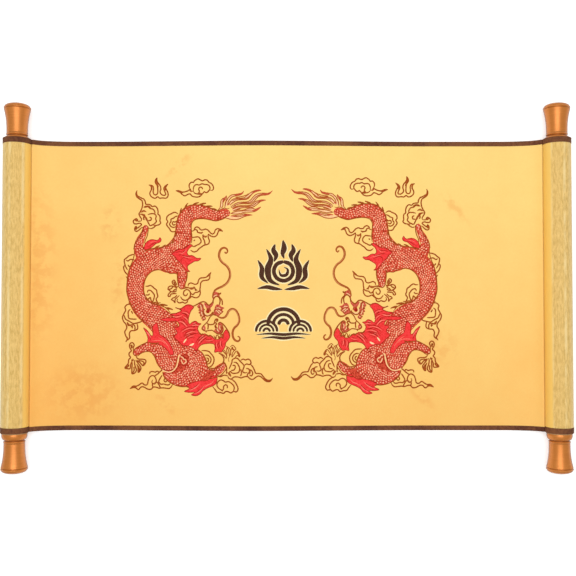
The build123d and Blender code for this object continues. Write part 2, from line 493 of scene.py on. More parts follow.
@dataclass(frozen=True)
class EdgeCloth(Finish):
    """Dark brown ribbed edging, with painted shade between its ribs."""

    name: str = "edge_cloth"
    dark: str = "5A3122"
    light: str = "875534"
    hollow: str = "341A12"

    def nodes(self, graph: Graph, surface: bpy.types.Node) -> None:
        """Builds the edging's ribs, the painted shade between them, and faded patches.

        Args:
            graph: the material's graph.
            surface: its Principled shader.
        """
        place = graph.cloth_place()
        fade = Effect.MOTTLE.on(graph, Vector=place, Broad=30.0, Close=400.0, Share=0.45)
        ribs = Effect.WEAVE.on(graph, Vector=place, Threads=1100.0)
        colour = graph.mix(graph.span(fade, 0.36, 0.64), shade(self.dark), shade(self.light))
        # Painted shade in the hollows between the ribs.
        colour = graph.mix(graph.span(ribs, 0.1, 0.9, 0.22, 0.0), colour, shade(self.hollow))
        graph.feed(
            surface, Base_Color=colour, Roughness=0.75, Specular_IOR_Level=0.2,
            Normal=graph.bump(ribs, 0.5, 0.0002),
        )


@dataclass(frozen=True)
class CopperLacquer(Finish):
    """Satin copper lacquer over turned wood."""

    name: str = "copper_lacquer"
    colour: str = "D88436"
    worn: str = "AE5C1C"
    rubbed: str = "F2A656"
    edge: str = "5E2C10"
    groove: str = "5A2A0C"

    def nodes(self, graph: Graph, surface: bpy.types.Node) -> None:
        """Builds the lacquer's turning marks and rub, with painted shade in its grooves, at its steps and
        towards its outline.

        Args:
            graph: the material's graph.
            surface: its Principled shader.
        """
        place = graph.object_place()
        marks = Effect.GRAIN.on(graph, Vector=place, Across=(0.05, 1.0, 0.05), Scale=1400.0, Roughness=0.7)
        rub = Effect.MOTTLE.on(graph, Vector=place, Broad=60.0, Close=500.0, Share=0.5)
        recess = graph.add("ShaderNodeAttribute", {"attribute_name": "recess"}).outputs["Fac"]
        painted_edge_shade = graph.add("ShaderNodeLayerWeight", Blend=0.5).outputs["Facing"]
        colour = graph.mix(graph.span(marks, 0.35, 0.7, 0.25, 0.0), shade(self.colour), shade(self.worn))
        colour = graph.mix(graph.span(rub, 0.5, 0.75, 0.0, 0.3), colour, shade(self.rubbed))
        # Painted shade towards the outline, where the surface turns away from view.
        colour = graph.mix(graph.span(painted_edge_shade, 0.5, 0.95, 0.0, 0.85), colour, shade(self.edge))
        # Painted shade in the grooves and at the steps.
        colour = graph.mix(recess, colour, shade(self.groove))
        graph.feed(
            surface, Base_Color=colour, Metallic=0.4, Roughness=graph.span(rub, 0.3, 0.7, 0.32, 0.42),
            Normal=graph.bump(marks, 0.1, 0.0002),
        )


@dataclass(frozen=True)
class RodWood(Finish):
    """Plain pale turned wood, seen only at the roll's ends."""

    name: str = "rod_wood"
    dark: str = "8E6239"
    light: str = "C79C69"

    def nodes(self, graph: Graph, surface: bpy.types.Node) -> None:
        """Builds the wood's grain.

        Args:
            graph: the material's graph.
            surface: its Principled shader.
        """
        grain = Effect.GRAIN.on(graph, Vector=graph.object_place(), Across=(1.0, 0.06, 1.0), Scale=500.0)
        colour = graph.mix(graph.span(grain, 0.3, 0.7, smooth=False), shade(self.dark), shade(self.light))
        graph.feed(surface, Base_Color=colour, Roughness=0.6, Normal=graph.bump(grain, 0.3, 0.0002))


class InkTone(Enum):
    """Printing inks: the colour, the colour in its uneven patches, and the frame's slot."""

    FIELD = ("E0563E", "A62E1A", "red_ink")
    SOLID = ("FA4444", "E83632", "red_ink")
    SCALE = ("FFC69C", "FB866A", "red_ink")
    ROUGE = ("DC6650", "B8442E", "red_ink")
    FLESH = ("FFD09A", "FFC28A", "red_ink")
    PALE = ("FFE0AC", "FFD49C", "red_ink")
    BLUSH = ("FF8A74", "FA7462", "red_ink")
    LINE = ("A8521E", "94401A", "outline_ink")
    CRIMSON = ("B42C1E", "962014", "outline_ink")
    CURL = ("B4602C", "A45224", "outline_ink")
    CORE = ("D8945E", "CC864E", "outline_ink")
    HAIR = ("B8602E", "A85026", "outline_ink")
    TIP = ("C8583A", "B8482E", "outline_ink")
    DARK = ("4E3124", "593A2B", "dark_ink")
    HALO = ("FFEEB8", "FFE8AC", "dark_ink")


@dataclass(frozen=True)
class Ink(Finish):
    """Flat printing ink with a slight unevenness."""

    main: str
    uneven: str
    grain: float = 620.0

    @classmethod
    def of(cls, tone: InkTone) -> "Ink":
        """The ink of a tone."""
        return cls(f"printed_{tone.name.lower()}", *tone.value[:2])

    def nodes(self, graph: Graph, surface: bpy.types.Node) -> None:
        """Builds the ink's unevenness.

        Args:
            graph: the material's graph.
            surface: its Principled shader.
        """
        grain = Effect.GRAIN.on(graph, Vector=graph.object_place(), Scale=self.grain)
        colour = graph.mix(graph.span(grain, 0.44, 0.6), shade(self.main), shade(self.uneven))
        graph.feed(surface, Base_Color=colour, Roughness=0.75, Specular_IOR_Level=0.0)


@dataclass(frozen=True)
class PaleGround(Finish):
    """Pale studio floor that shows white to the camera and in reflections."""

    name: str = "pale_ground"
    tone: float = 0.8
    lift: float = 0.5

    def nodes(self, graph: Graph, surface: bpy.types.Node) -> None:
        """Adds a lift of white for camera and mirror rays to a matt white.

        Args:
            graph: the material's graph.
            surface: its Principled shader.
        """
        rays = graph.add("ShaderNodeLightPath").outputs
        mirrored = graph.calc("MAXIMUM", rays["Is Glossy Ray"], rays["Is Transmission Ray"])
        seen = graph.calc("MAXIMUM", rays["Is Camera Ray"], mirrored)
        graph.feed(
            surface, Base_Color=(self.tone, self.tone, self.tone, 1.0), Roughness=1.0, Specular_IOR_Level=0.0,
            Emission_Color=WHITE, Emission_Strength=graph.calc("MULTIPLY", seen, self.lift),
        )


# The sheet's form


@dataclass(frozen=True)
class Stretch:
    """One stretch of the sheet's section: a straight, or a bend of a radius and a turn."""

    size: float
    turn: float = 0.0


@dataclass(frozen=True)
class Station:
    """A place on the sheet's glue line, with the way that the sheet heads there."""

    along: float
    x: float
    z: float
    heading: float

    def at(self, distance: float) -> tuple[float, float]:
        """Place at a distance from the glue line, towards the printed side."""
        turn = self.heading + 90
        return (self.x + distance * cosine(turn), self.z + distance * sine(turn))


@dataclass
class SheetForm:
    """How the laminated sheet lies: a wrap round each rod, a fold, a ramp and a low arch."""

    left_axis: float
    right_axis: float
    roller_height: float
    rod_radius: float
    top_edge: float
    bottom_edge: float
    paper_thickness: float = 0.25
    brocade_thickness: float = 0.25
    glue_gap: float = 0.03
    binding_thickness: float = 0.2
    binding_gap: float = 0.02
    face_binding_width: float = 4.7
    back_binding_width: float = 5.5
    wrap_clearance: float = 0.05
    wrap_gap: float = 11.0
    fold_angle: float = -20.0
    fold_radius: float = 1.6
    fold_slope: float = 42.0
    ramp_slope: float = 14.0
    ramp_bend_radius: float = 26.0
    left_flat: float = 18.0
    right_flat: float = 78.8
    arch_slope: float = 2.4
    hollow_share: float = 0.125
    crest_share: float = 0.25
    step: float = 5.0
    step_turn: float = 4.0
    stations: list[Station] = field(default_factory=list)
    reading: list[tuple[float, float]] = field(default_factory=list)

    @classmethod
    def from_frame(cls) -> "SheetForm":
        """Reads the rods' and bindings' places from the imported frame.

        Returns:
            The form, with its stations worked out.
        """
        left_low, left_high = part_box(RODS[0])
        right_low, right_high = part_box(RODS[1])
        form = cls(
            left_axis=(left_low.x + left_high.x) / 2 / MM,
            right_axis=(right_low.x + right_high.x) / 2 / MM,
            roller_height=(left_low.z + left_high.z) / 2 / MM,
            rod_radius=(left_high.z - left_low.z) / 2 / MM,
            top_edge=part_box("top_binding")[1].y / MM,
            bottom_edge=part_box("bottom_binding")[0].y / MM,
        )
        form.lay()
        return form

    @property
    def paper_top(self) -> float:
        """Distance of the printed face from the glue line."""
        return self.glue_gap / 2 + self.paper_thickness

    @property
    def brocade_low(self) -> float:
        """Distance of the brocade's outer face from the glue line."""
        return -self.glue_gap / 2 - self.brocade_thickness

    @property
    def binding_top(self) -> float:
        """Distance of the binding's face lap from the glue line."""
        return self.paper_top + self.binding_gap + self.binding_thickness

    @property
    def binding_low(self) -> float:
        """Distance of the binding's back lap from the glue line."""
        return self.brocade_low - self.binding_gap - self.binding_thickness

    @property
    def middle(self) -> float:
        """Y of the sheet's middle."""
        return (self.top_edge + self.bottom_edge) / 2

    def lay(self) -> None:
        """Works out the stations of the whole sheet and of its reading stretch."""
        wrap_radius = self.rod_radius + self.wrap_clearance + self.binding_top
        fold_turn = self.fold_angle + 90 + self.fold_slope
        fold_run = self.fold_radius * (cosine(self.fold_angle) + cosine(90 - self.fold_slope))
        fold_drop = self.fold_radius * (sine(self.fold_angle) + sine(90 - self.fold_slope))
        bend_run = self.ramp_bend_radius * (sine(self.fold_slope) - sine(self.ramp_slope))
        bend_drop = self.ramp_bend_radius * (cosine(self.ramp_slope) - cosine(self.fold_slope))
        fold_end = wrap_radius * sine(self.fold_angle) + fold_drop
        ramp_drop = self.roller_height + fold_end - bend_drop + self.binding_low
        ramp_radius = ramp_drop / (1 - cosine(self.ramp_slope))
        ramp_run = ramp_radius * sine(self.ramp_slope)
        end_run = wrap_radius * cosine(self.fold_angle) + fold_run + bend_run + ramp_run
        arch = self.right_axis - self.left_axis - 2 * end_run - self.left_flat - self.right_flat
        hollow = Stretch(arch * self.hollow_share / sine(self.arch_slope), self.arch_slope)
        crest = Stretch(arch * self.crest_share / 2 / sine(self.arch_slope), -2 * self.arch_slope)
        slope = Stretch(arch * ((1 - self.crest_share) / 2 - self.hollow_share) / cosine(self.arch_slope))
        ramp = [
            Stretch(wrap_radius, 360 - self.wrap_gap),
            Stretch(self.fold_radius, -fold_turn),
            Stretch(self.ramp_bend_radius, self.fold_slope - self.ramp_slope),
            Stretch(ramp_radius, self.ramp_slope),
        ]
        level = [Stretch(self.left_flat), hollow, slope, crest, slope, hollow, Stretch(self.right_flat)]
        free_end = self.fold_angle + self.wrap_gap
        first = Station(
            0.0, self.left_axis + wrap_radius * cosine(free_end),
            self.roller_height + wrap_radius * sine(free_end), free_end + 90,
        )
        up_to = self.follow(first, ramp)
        across = self.follow(up_to[-1], level)
        self.reading = [station.at(self.paper_top) for station in across]
        self.stations = up_to + across[1:] + self.follow(across[-1], ramp[::-1])[1:]

    def follow(self, start: Station, stretches: Sequence[Stretch]) -> list[Station]:
        """Lists stations along stretches.

        Args:
            start: the station that the first stretch leaves from.
            stretches: straights and bends in order.

        Returns:
            The stations, the start included.
        """
        found = [start]
        for stretch in stretches:
            found += self.bend(found[-1], stretch) if stretch.turn else self.straight(found[-1], stretch)
        return found

    def straight(self, here: Station, stretch: Stretch) -> list[Station]:
        """Lists stations along a straight.

        Args:
            here: the station that it leaves from.
            stretch: the straight.

        Returns:
            The stations after the first.
        """
        runs = [stretch.size * share for share in shares(max(1, round(stretch.size / self.step)))]
        dx, dz = cosine(here.heading), sine(here.heading)
        return [Station(here.along + run, here.x + run * dx, here.z + run * dz, here.heading) for run in runs]

    def bend(self, here: Station, stretch: Stretch) -> list[Station]:
        """Lists stations along a bend.

        Args:
            here: the station that it leaves from.
            stretch: the bend.

        Returns:
            The stations after the first.
        """
        length = stretch.size * math.radians(abs(stretch.turn))
        count = max(2, math.ceil(max(length / self.step, abs(stretch.turn) / self.step_turn)))
        out = -90 if stretch.turn > 0 else 90
        centre_x = here.x - stretch.size * cosine(here.heading + out)
        centre_z = here.z - stretch.size * sine(here.heading + out)
        found = []
        for share in shares(count):
            heading = here.heading + stretch.turn * share
            x = centre_x + stretch.size * cosine(heading + out)
            z = centre_z + stretch.size * sine(heading + out)
            found.append(Station(here.along + length * share, x, z, heading))
        return found

    def height(self, x: float) -> float:
        """Finds the printed face's height over the table, in its reading stretch.

        Args:
            x: the place along the sheet.

        Returns:
            The height.
        """
        i = min(max(bisect_right(self.reading, (x, math.inf)), 1), len(self.reading) - 1)
        (x0, z0), (x1, z1) = self.reading[i - 1], self.reading[i]
        return z0 + (z1 - z0) * (x - x0) / (x1 - x0)


def as_piece(
    name: str, bm: bmesh.types.BMesh, finish: Finish, sharp: float = 35.0, turned_out: bool = False
) -> bpy.types.Object:
    """Turns a bmesh into a finished object that rides on the scroll.

    Args:
        name: the piece's name.
        bm: its mesh in metres, freed here.
        finish: what it is dressed with.
        sharp: edges that turn more than this many degrees stay sharp.
        turned_out: whether the faces look outward already.

    Returns:
        The object, linked to the scene.
    """
    if not turned_out:
        bmesh.ops.recalc_face_normals(bm, faces=bm.faces[:])
    mesh = bpy.data.meshes.new(name)
    bm.to_mesh(mesh)
    bm.free()
    mesh.polygons.foreach_set("use_smooth", [True] * len(mesh.polygons))
    mesh.set_sharp_from_angle(angle=math.radians(sharp))
    mesh.materials.append(finish.material())
    piece = bpy.data.objects.new(name, mesh)
    bpy.context.scene.collection.objects.link(piece)
    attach(piece, CARRIER)
    LOG.info("%s: %d faces", name, len(mesh.polygons))
    return piece


def sweep(
    name: str, profile: Sequence[tuple[float, float]], stations: Sequence[Station], finish: Finish
) -> bpy.types.Object:
    """Sweeps a closed profile along the sheet's section.

    Args:
        name: the piece's name.
        profile: Y and distance from the glue line of each point, round the profile.
        stations: the stations that it follows.
        finish: what the piece is dressed with.

    Returns:
        The closed piece, with a UV map in metres along and across the sheet.
    """
    bm = bmesh.new()
    uv = bm.loops.layers.uv.new(CLOTH_MAP)
    rings = []
    for station in stations:
        spots = [(y, station.at(distance)) for y, distance in profile]
        rings.append([bm.verts.new((x * MM, y * MM, z * MM)) for y, (x, z) in spots])
    count = len(profile)
    for (first, a), (second, b) in zip(zip(stations, rings), zip(stations[1:], rings[1:])):
        for i in range(count):
            j = (i + 1) % count
            face = bm.faces.new((a[i], a[j], b[j], b[i]))
            for loop, (station, k) in zip(face.loops, ((first, i), (first, j), (second, j), (second, i))):
                loop[uv].uv = (station.along * MM, (profile[k][0] + profile[k][1]) * MM)
    for station, ring in ((stations[0], rings[0][::-1]), (stations[-1], rings[-1])):
        for loop in bm.faces.new(ring).loops:
            loop[uv].uv = (station.along * MM, loop.vert.co.y)
    return as_piece(name, bm, finish)


@dataclass
class Sheet:
    """The laminated sheet: printed paper, brocade back and the two edge bindings."""

    form: SheetForm
    across_steps: int = 24
    corner: float = 0.12
    corner_cut: float = 0.3
    fold_allowance: float = 0.9

    def layer(self, name: str, low: float, high: float, finish: Finish) -> bpy.types.Object:
        """Makes one layer of the sheet.

        Args:
            name: the piece's name.
            low: distance of its lower face from the glue line.
            high: distance of its upper face from the glue line.
            finish: what it is dressed with.

        Returns:
            The layer.
        """
        inset = self.form.binding_thickness + self.form.binding_gap
        first, last = self.form.bottom_edge + inset, self.form.top_edge - inset
        places = [first + (last - first) * i / self.across_steps for i in range(self.across_steps + 1)]
        profile = [(y, high) for y in places] + [(y, low) for y in reversed(places)]
        return sweep(name, profile, self.form.stations, finish)

    def binding(self, name: str, edge: float, inward: int) -> bpy.types.Object:
        """Makes the edging folded over one long edge.

        Args:
            name: the piece's name.
            edge: Y of the edge.
            inward: 1 where the sheet lies above the edge in Y, and -1 where it lies below.

        Returns:
            The edging.
        """
        form = self.form
        high, low = form.binding_top, form.binding_low
        thick, r = form.binding_thickness, self.corner
        cut = r * self.corner_cut
        outline = [
            (form.face_binding_width, high), (r, high), (cut, high - cut), (0.0, high - r),
            (0.0, low + r), (cut, low + cut), (r, low), (form.back_binding_width, low),
            (form.back_binding_width, low + thick), (thick, low + thick), (thick, high - thick),
            (form.face_binding_width, high - thick),
        ]
        return sweep(name, [(edge + inward * y, z) for y, z in outline], form.stations, EdgeCloth())

    def build(self) -> list[bpy.types.Object]:
        """Makes the four pieces and puts them in place of the frame's own.

        Returns:
            The paper, the brocade and the two bindings.
        """
        form = self.form
        length = form.stations[-1].along * MM
        paper = self.layer("printed_paper", form.glue_gap / 2, form.paper_top, AgedPaper())
        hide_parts("face_paper")
        gold = GoldBrocade(length=length)
        brocade = self.layer("gold_brocade_back", form.brocade_low, -form.glue_gap / 2, gold)
        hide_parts("brocade_backing")
        edgings = []
        for side, edge, inward in (("top", form.top_edge, -1), ("bottom", form.bottom_edge, 1)):
            edging = self.binding(f"{side}_edging", edge, inward)
            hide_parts(f"{side}_binding")
            edgings.append(edging)
        return [paper, brocade, *edgings]


# Drawing


def places(text: str) -> tuple[Place, ...]:
    """Reads places written as "x,y x,y": how far left of the middle and how far up.

    Args:
        text: the places, with more numbers each where a shape needs them.

    Returns:
        The places, with X to the right.
    """
    rows = [[float(part) for part in place.split(",")] for place in text.split()]
    return tuple((-left, *rest) for left, *rest in rows)


def shapes(text: str) -> tuple[tuple[Place, ...], ...]:
    """Reads shapes that are parted by semicolons."""
    return tuple(places(shape) for shape in text.split(";"))


def spline(way: Sequence[Place], closed: bool = False, step: float = 0.8) -> list[Place]:
    """Runs a smooth curve through places.

    Args:
        way: the places, each of two or more numbers.
        closed: whether the curve goes back to the first place.
        step: spacing of the curve's points in mm.

    Returns:
        The curve's points, with as many numbers each as the places have.
    """
    count = len(way)
    found: list[Place] = []
    for i in range(count if closed else count - 1):
        spots = [(i + k) % count if closed else min(max(i + k, 0), count - 1) for k in (-1, 0, 1, 2)]
        p0, p1, p2, p3 = (way[spot] for spot in spots)
        cuts = max(1, round(math.dist(p1[:2], p2[:2]) / step))
        for j in range(cuts):
            t = j / cuts
            point = []
            for a, b, c, d in zip(p0, p1, p2, p3):
                bow = (2 * a - 5 * b + 4 * c - d) * t * t + (3 * b - a - 3 * c + d) * t ** 3
                point.append(0.5 * (2 * b + (c - a) * t + bow))
            found.append(tuple(point))
    if not closed:
        found.append(tuple(way[-1]))
    return found


def inside(place: Place, outline: Sequence[Place]) -> bool:
    """Tells whether a place lies in a closed outline.

    Args:
        place: the place.
        outline: the outline's points in order.

    Returns:
        True for a place in it.
    """
    x, y = place[0], place[1]
    odd = False
    for (x0, y0), (x1, y1) in zip(outline, [*outline[1:], outline[0]]):
        if (y0 > y) != (y1 > y) and x < x0 + (y - y0) * (x1 - x0) / (y1 - y0):
            odd = not odd
    return odd


def normals(curve: Sequence[Place]) -> list[tuple[float, float]]:
    """Works out unit normals along a curve.

    Args:
        curve: the curve's points.

    Returns:
        The normal at each point, to the left of the way.
    """
    found = []
    for i in range(len(curve)):
        a, b = curve[max(i - 1, 0)], curve[min(i + 1, len(curve) - 1)]
        length = math.dist(a[:2], b[:2]) or 1.0
        found.append((-(b[1] - a[1]) / length, (b[0] - a[0]) / length))
    return found


@dataclass(frozen=True)
class Stroke:
    """A drawn line: its places, its width, and how it narrows at each end."""

    way: tuple[Place, ...]
    width: float = 1.3
    taper: float = 0.12
    tip: float = 0.5

    @classmethod
    def read(cls, text: str, **ends: float) -> tuple["Stroke", ...]:
        """Reads lines that are written one after another as "width: x,y x,y".

        Args:
            text: the lines, with their places as the function places takes them.
            ends: their taper and tip, where they aren't the usual ones.

        Returns:
            The lines in order.
        """
        found: list[tuple[float, list[str]]] = []
        for word in text.split():
            if word.endswith(":"):
                found.append((float(word[:-1]), []))
            else:
                found[-1][1].append(word)
        return tuple(cls(places(" ".join(words)), width, **ends) for width, words in found)

    def half_widths(self, count: int) -> list[float]:
        """Works out the half width at points along the line.

        Args:
            count: how many points there are.

        Returns:
            The half widths.
        """
        widths = []
        for i in range(count):
            share = min(i, count - 1 - i) / max(count - 1, 1)
            grown = math.sin(min(1.0, share / self.taper) * math.pi / 2)
            widths.append(self.width / 2 * (self.tip + (1 - self.tip) * grown))
        return widths


@dataclass(frozen=True)
class Blade(Stroke):
    """A drawn line that is thick in its middle and pointed at both ends."""

    width: float = 2.0
    taper: float = 0.5
    tip: float = 0.1


def stamping_tree() -> bpy.types.NodeTree:
    """Builds or fetches the Geometry Nodes tree that puts one shape on many places.

    Returns:
        The tree, with inputs for the places, the shape and the finish.
    """
    if "stamping" in bpy.data.node_groups:
        return bpy.data.node_groups["stamping"]
    tree = bpy.data.node_groups.new("stamping", "GeometryNodeTree")
    for label, kind, side in (
        ("Places", "NodeSocketGeometry", "INPUT"), ("Shape", "NodeSocketObject", "INPUT"),
        ("Finish", "NodeSocketMaterial", "INPUT"), ("Prints", "NodeSocketGeometry", "OUTPUT"),
    ):
        tree.interface.new_socket(name=label, in_out=side, socket_type=kind)
    g = Graph(tree)
    given, sink = tree.nodes.new("NodeGroupInput").outputs, tree.nodes.new("NodeGroupOutput")
    shape = g.add("GeometryNodeObjectInfo", Object=given["Shape"])
    turn = g.add("GeometryNodeInputNamedAttribute", {"data_type": "FLOAT"}, Name="turn")
    size = g.add("GeometryNodeInputNamedAttribute", {"data_type": "FLOAT"}, Name="size")
    facing = g.add("ShaderNodeCombineXYZ", Z=turn.outputs[0])
    stamped = g.add(
        "GeometryNodeInstanceOnPoints", Points=given["Places"], Instance=shape.outputs["Geometry"],
        Rotation=facing.outputs[0], Scale=size.outputs[0],
    )
    real = g.add("GeometryNodeRealizeInstances", i0=stamped.outputs[0])
    dressed = g.add("GeometryNodeSetMaterial", Geometry=real.outputs[0], Material=given["Finish"])
    g.feed(sink, i0=dressed.outputs[0])
    return tree


def baked(mesh: bpy.types.Mesh, tree: bpy.types.NodeTree, **inputs: object) -> bpy.types.Mesh:
    """Runs a Geometry Nodes tree on a mesh and turns the result into a plain one.

    Args:
        mesh: the mesh that the tree starts from.
        tree: the tree.
        inputs: a value for each of the tree's other inputs, by name.

    Returns:
        The result.
    """
    holder = bpy.data.objects.new(mesh.name, mesh)
    bpy.context.scene.collection.objects.link(holder)
    modifier = holder.modifiers.new(tree.name, "NODES")
    modifier.node_group = tree
    sockets = {item.name: item.identifier for item in tree.interface.items_tree if item.item_type == "SOCKET"}
    for label, value in inputs.items():
        modifier[sockets[label]] = value
    plain = bpy.data.meshes.new_from_object(holder.evaluated_get(bpy.context.evaluated_depsgraph_get()))
    bpy.data.objects.remove(holder)
    return plain


@dataclass
class InkPlate:
    """One ink's share of a print, as one thin raised piece that lies on the paper.

    Shapes are drawn flat, in mm from the sheet's middle. The print is fitted to the
    sheet by its scale and shift, and the right-hand print is mirrored at its axis.
    """

    form: SheetForm
    name: str
    tone: InkTone
    node: str
    mirror: bool = False
    base: float = 0.0
    thickness: float = 0.05
    scale: float = 0.989
    shift: float = 0.28
    axis: float = -5.0
    mirrored_rise: float = 1.5
    cut: float = 8.0
    stack: int = 40
    stack_step: float = 0.0006
    drawn: int = 0
    mesh: bmesh.types.BMesh = field(default_factory=bmesh.new)

    def vert(self, x: float, y: float) -> bmesh.types.BMVert:
        """Adds a flat vertex, a hair higher or lower than the shapes drawn before it."""
        return self.mesh.verts.new((x, y, (self.drawn % self.stack) * self.stack_step))

    def fill(self, outline: Sequence[Place]) -> None:
        """Adds a filled outline.

        Args:
            outline: its points in order.
        """
        self.drawn += 1
        face = self.mesh.faces.new([self.vert(*point[:2]) for point in outline])
        face.normal_update()
        bmesh.ops.triangulate(self.mesh, faces=[face], ngon_method="EAR_CLIP")

    def ribbon(self, curve: Sequence[Place], half: Sequence[float]) -> None:
        """Adds a strip along a curve.

        Args:
            curve: the curve's points.
            half: the half width at each point.
        """
        self.drawn += 1
        pairs = []
        for (x, y, *_), (nx, ny), h in zip(curve, normals(curve), half):
            pairs.append((self.vert(x + nx * h, y + ny * h), self.vert(x - nx * h, y - ny * h)))
        for (a, b), (c, d) in zip(pairs, pairs[1:]):
            self.mesh.faces.new((a, b, d, c))

    def draw(self, strokes: Sequence[Stroke], step: float = 0.8) -> None:
        """Adds drawn lines.

        Args:
            strokes: the lines.
            step: spacing of the points along each line.
        """
        for stroke in strokes:
            curve = spline(stroke.way, step=step)
            self.ribbon(curve, stroke.half_widths(len(curve)))

    def stamp(self, shape: Sequence[Place], spots: Sequence[Place]) -> None:
        """Adds one small shape at many places with Geometry Nodes.

        Args:
            shape: the shape's outline.
            spots: x, y, turn in degrees and size of each place.
        """
        outline = bpy.data.meshes.new("stamp")
        outline.from_pydata([(x, y, 0.0) for x, y in shape], [], [tuple(range(len(shape)))])
        stamp = bpy.data.objects.new("stamp", outline)
        bpy.context.scene.collection.objects.link(stamp)
        cloud = bpy.data.meshes.new("places")
        cloud.from_pydata([(x, y, 0.0) for x, y, _, _ in spots], [], [])
        turns = [math.radians(spot[2]) for spot in spots]
        cloud.attributes.new("turn", "FLOAT", "POINT").data.foreach_set("value", turns)
        cloud.attributes.new("size", "FLOAT", "POINT").data.foreach_set("value", [spot[3] for spot in spots])
        stamped = baked(cloud, stamping_tree(), Shape=stamp, Finish=Ink.of(self.tone).material())
        bpy.data.objects.remove(stamp)
        self.mesh.from_mesh(stamped)
        bpy.data.meshes.remove(stamped)

    def fit(self) -> None:
        """Fits the flat shapes to the sheet and cuts them where they have to follow its bends."""
        bm = self.mesh
        for vert in bm.verts:
            x = self.scale * vert.co.x + self.shift
            vert.co.x = 2 * self.axis - x if self.mirror else x
            vert.co.y = self.scale * vert.co.y + (self.mirrored_rise if self.mirror else 0.0)
        reach = [vert.co.x for vert in bm.verts]
        for i in range(math.ceil(min(reach) / self.cut), math.floor(max(reach) / self.cut) + 1):
            everything = bm.verts[:] + bm.edges[:] + bm.faces[:]
            bmesh.ops.bisect_plane(bm, geom=everything, plane_co=(i * self.cut, 0, 0), plane_no=(1, 0, 0))

    def print_on(self) -> bpy.types.Object:
        """Raises the flat shapes, lays them on the paper and makes the piece.

        Returns:
            The piece, standing for the frame's print node.
        """
        self.fit()
        bm = self.mesh
        flat = bm.faces[:]
        for face in flat:
            face.normal_update()
            if face.normal.z < 0:
                face.normal_flip()
        raised = bmesh.ops.extrude_face_region(bm, geom=flat, use_keep_orig=True)["geom"]
        for item in raised:
            if isinstance(item, bmesh.types.BMVert):
                item.co.z += self.thickness
        for vert in bm.verts:
            x, y, z = vert.co
            vert.co = (x * MM, (y + self.form.middle) * MM, (self.form.height(x) + self.base + z) * MM)
        piece = as_piece(self.name, bm, Ink.of(self.tone), turned_out=True)
        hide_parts(self.node)
        return piece


# The left-hand drawing in mm: how far left of the sheet's middle, how far up, and a band's half width

TRUNK = places("""
57.6,73.4,1.2 59,72.8,3.4 64,71.8,4.6 71,69.8,5.4 80,72.4,6.2 90,73.6,6.8 99,71.5,7.8 104,63,7.4
104.5,53,8.4 106,44,9.4 112.5,33.5,11 122,27,11.6 132,26,11.2 142,22.4,10.6 149.5,14,9.4 152.4,4,8.7
152.4,-6,8.7 150,-15,9.2 144.6,-23,10.2 137.4,-28.6,11.6 130,-34,12.6 123.5,-41,13 119.6,-50,13.2
119.6,-60,13 121,-70,12 120,-78,9.8 118.4,-84,5.6 117.8,-86.4,3
""")
THIGH = places("""
131,24,6 122,20,7 114,17.6,6 108,15,4
""")
COIL = places("""
121,-89,3.4 114,-93.4,7 105,-93.4,8.6 96.6,-90,10 89.4,-83,11.4 88,-74,11 92,-66,9.4 99,-63.4,7.6
105.4,-66,5 107,-70,2.4
""")
COIL_EDGE = places("""
124,-86.8 122.6,-91.4 118,-96.2 112,-99.6 105,-101.2 97,-100.6 88,-98 79,-94 73,-88.4 71.6,-85.2 76.8,-84.4
79.6,-80.6 80.8,-76 83.4,-70 86.6,-65.8 92,-62 100,-59 107,-60 108.6,-67 108,-73 109,-78 112.6,-84.8
117.6,-87.6
""")
HOOK = places("""
108,-72 104.6,-70.4 100.6,-72.4 99,-76 100.8,-79.8 104,-80.8 107.6,-78
""")
LIMBS = shapes("""
146,30,6.5 149.5,38,5 147.5,46,4 144,53,2.9 142.3,58.6,2.6 142,60.4,1.2;
110,27,7 105.7,18,5.2 105.2,8,4.6 105.8,1,3.8 106,-2.8,2.6 106,-4,1;
131,-64,6 138,-61.8,4.8 145,-63.5,4.2 150.6,-66.4,3.8 153.2,-68.2,2.4 154,-68.8,1;
80,-89,4.5 73,-87.4,4.2 67,-83.2,4.2 63.4,-79,2.6 62.6,-77.2,1
""")
MANE = places("""
117,-29 111,-28 106,-25.5 112,-22.5 107,-23.8 101,-20.2 97,-20 93.5,-21.8 96.5,-26 98.5,-32 99,-36.5
97.5,-39 95,-37 91.5,-36 89,-38 86,-38.6 88,-40 89.5,-43 88.5,-46.5 85.5,-49 82,-48.6 80,-50.5 77,-50
74.5,-51.5 72.5,-54 68.5,-54 66,-52 64.2,-49 62.5,-46 61,-44.5 58.5,-47.5 57.3,-51 58.8,-54.5 61.3,-57.5
62,-61 64,-65 66,-67 69,-66.3 72.5,-67 72,-63 73,-59 78,-58.2 84,-59 87.5,-61 91,-65.5 94,-63 99,-61
105,-60 109,-56 113,-52 110,-47 113,-43 108,-41 111,-36 119,-36.5 127,-34.5 121,-33 112,-32
""")
FLAMES = shapes("""
144,38.2 142.2,42.4 139,45 135.5,45.9 131.2,45.1 129,46 128,48 126.6,45.3 128.2,43 131.9,41.8 134.7,39.3
  137.6,37 141.2,36 143.6,35.6;
95,39.9 99.2,36 100.4,32.2 98.7,29.8 95.9,29.9 93.2,28.6 90.6,27 86.5,26.8 89.3,24.3 92.6,24 96.5,21.8
  99.6,19.6 100,17.4 99.1,14.9 97.4,13.7 100.6,14 103,17 105.2,19.7 108,23.1 111,25.9 112,28.1 114.6,30.1
  116.2,30.9 113.4,33.3 110,35.5 106.5,36.1 103.4,36.7 100.6,38.7 97.8,40.7;
134.4,-41 131,-38 129,-43 127.5,-49 121,-54 116,-61 113.5,-68.5 117.5,-69.5 121,-64 126,-60.5 132,-58
  139.5,-57.5 139.5,-53 141.3,-48 144,-42.8 140,-45.8 137,-50 134.6,-50.5 134.8,-46;
101,-100.5 97.5,-103.2 102.6,-106 98,-107 94,-106.8 91.8,-107.3 95.6,-109.4 91,-110.4 87,-108.6 84,-105.3
  80,-102.8 75,-100.7 71,-98 70,-91.5 74,-90.5 80,-95 88,-95.5 95,-97.5
""")
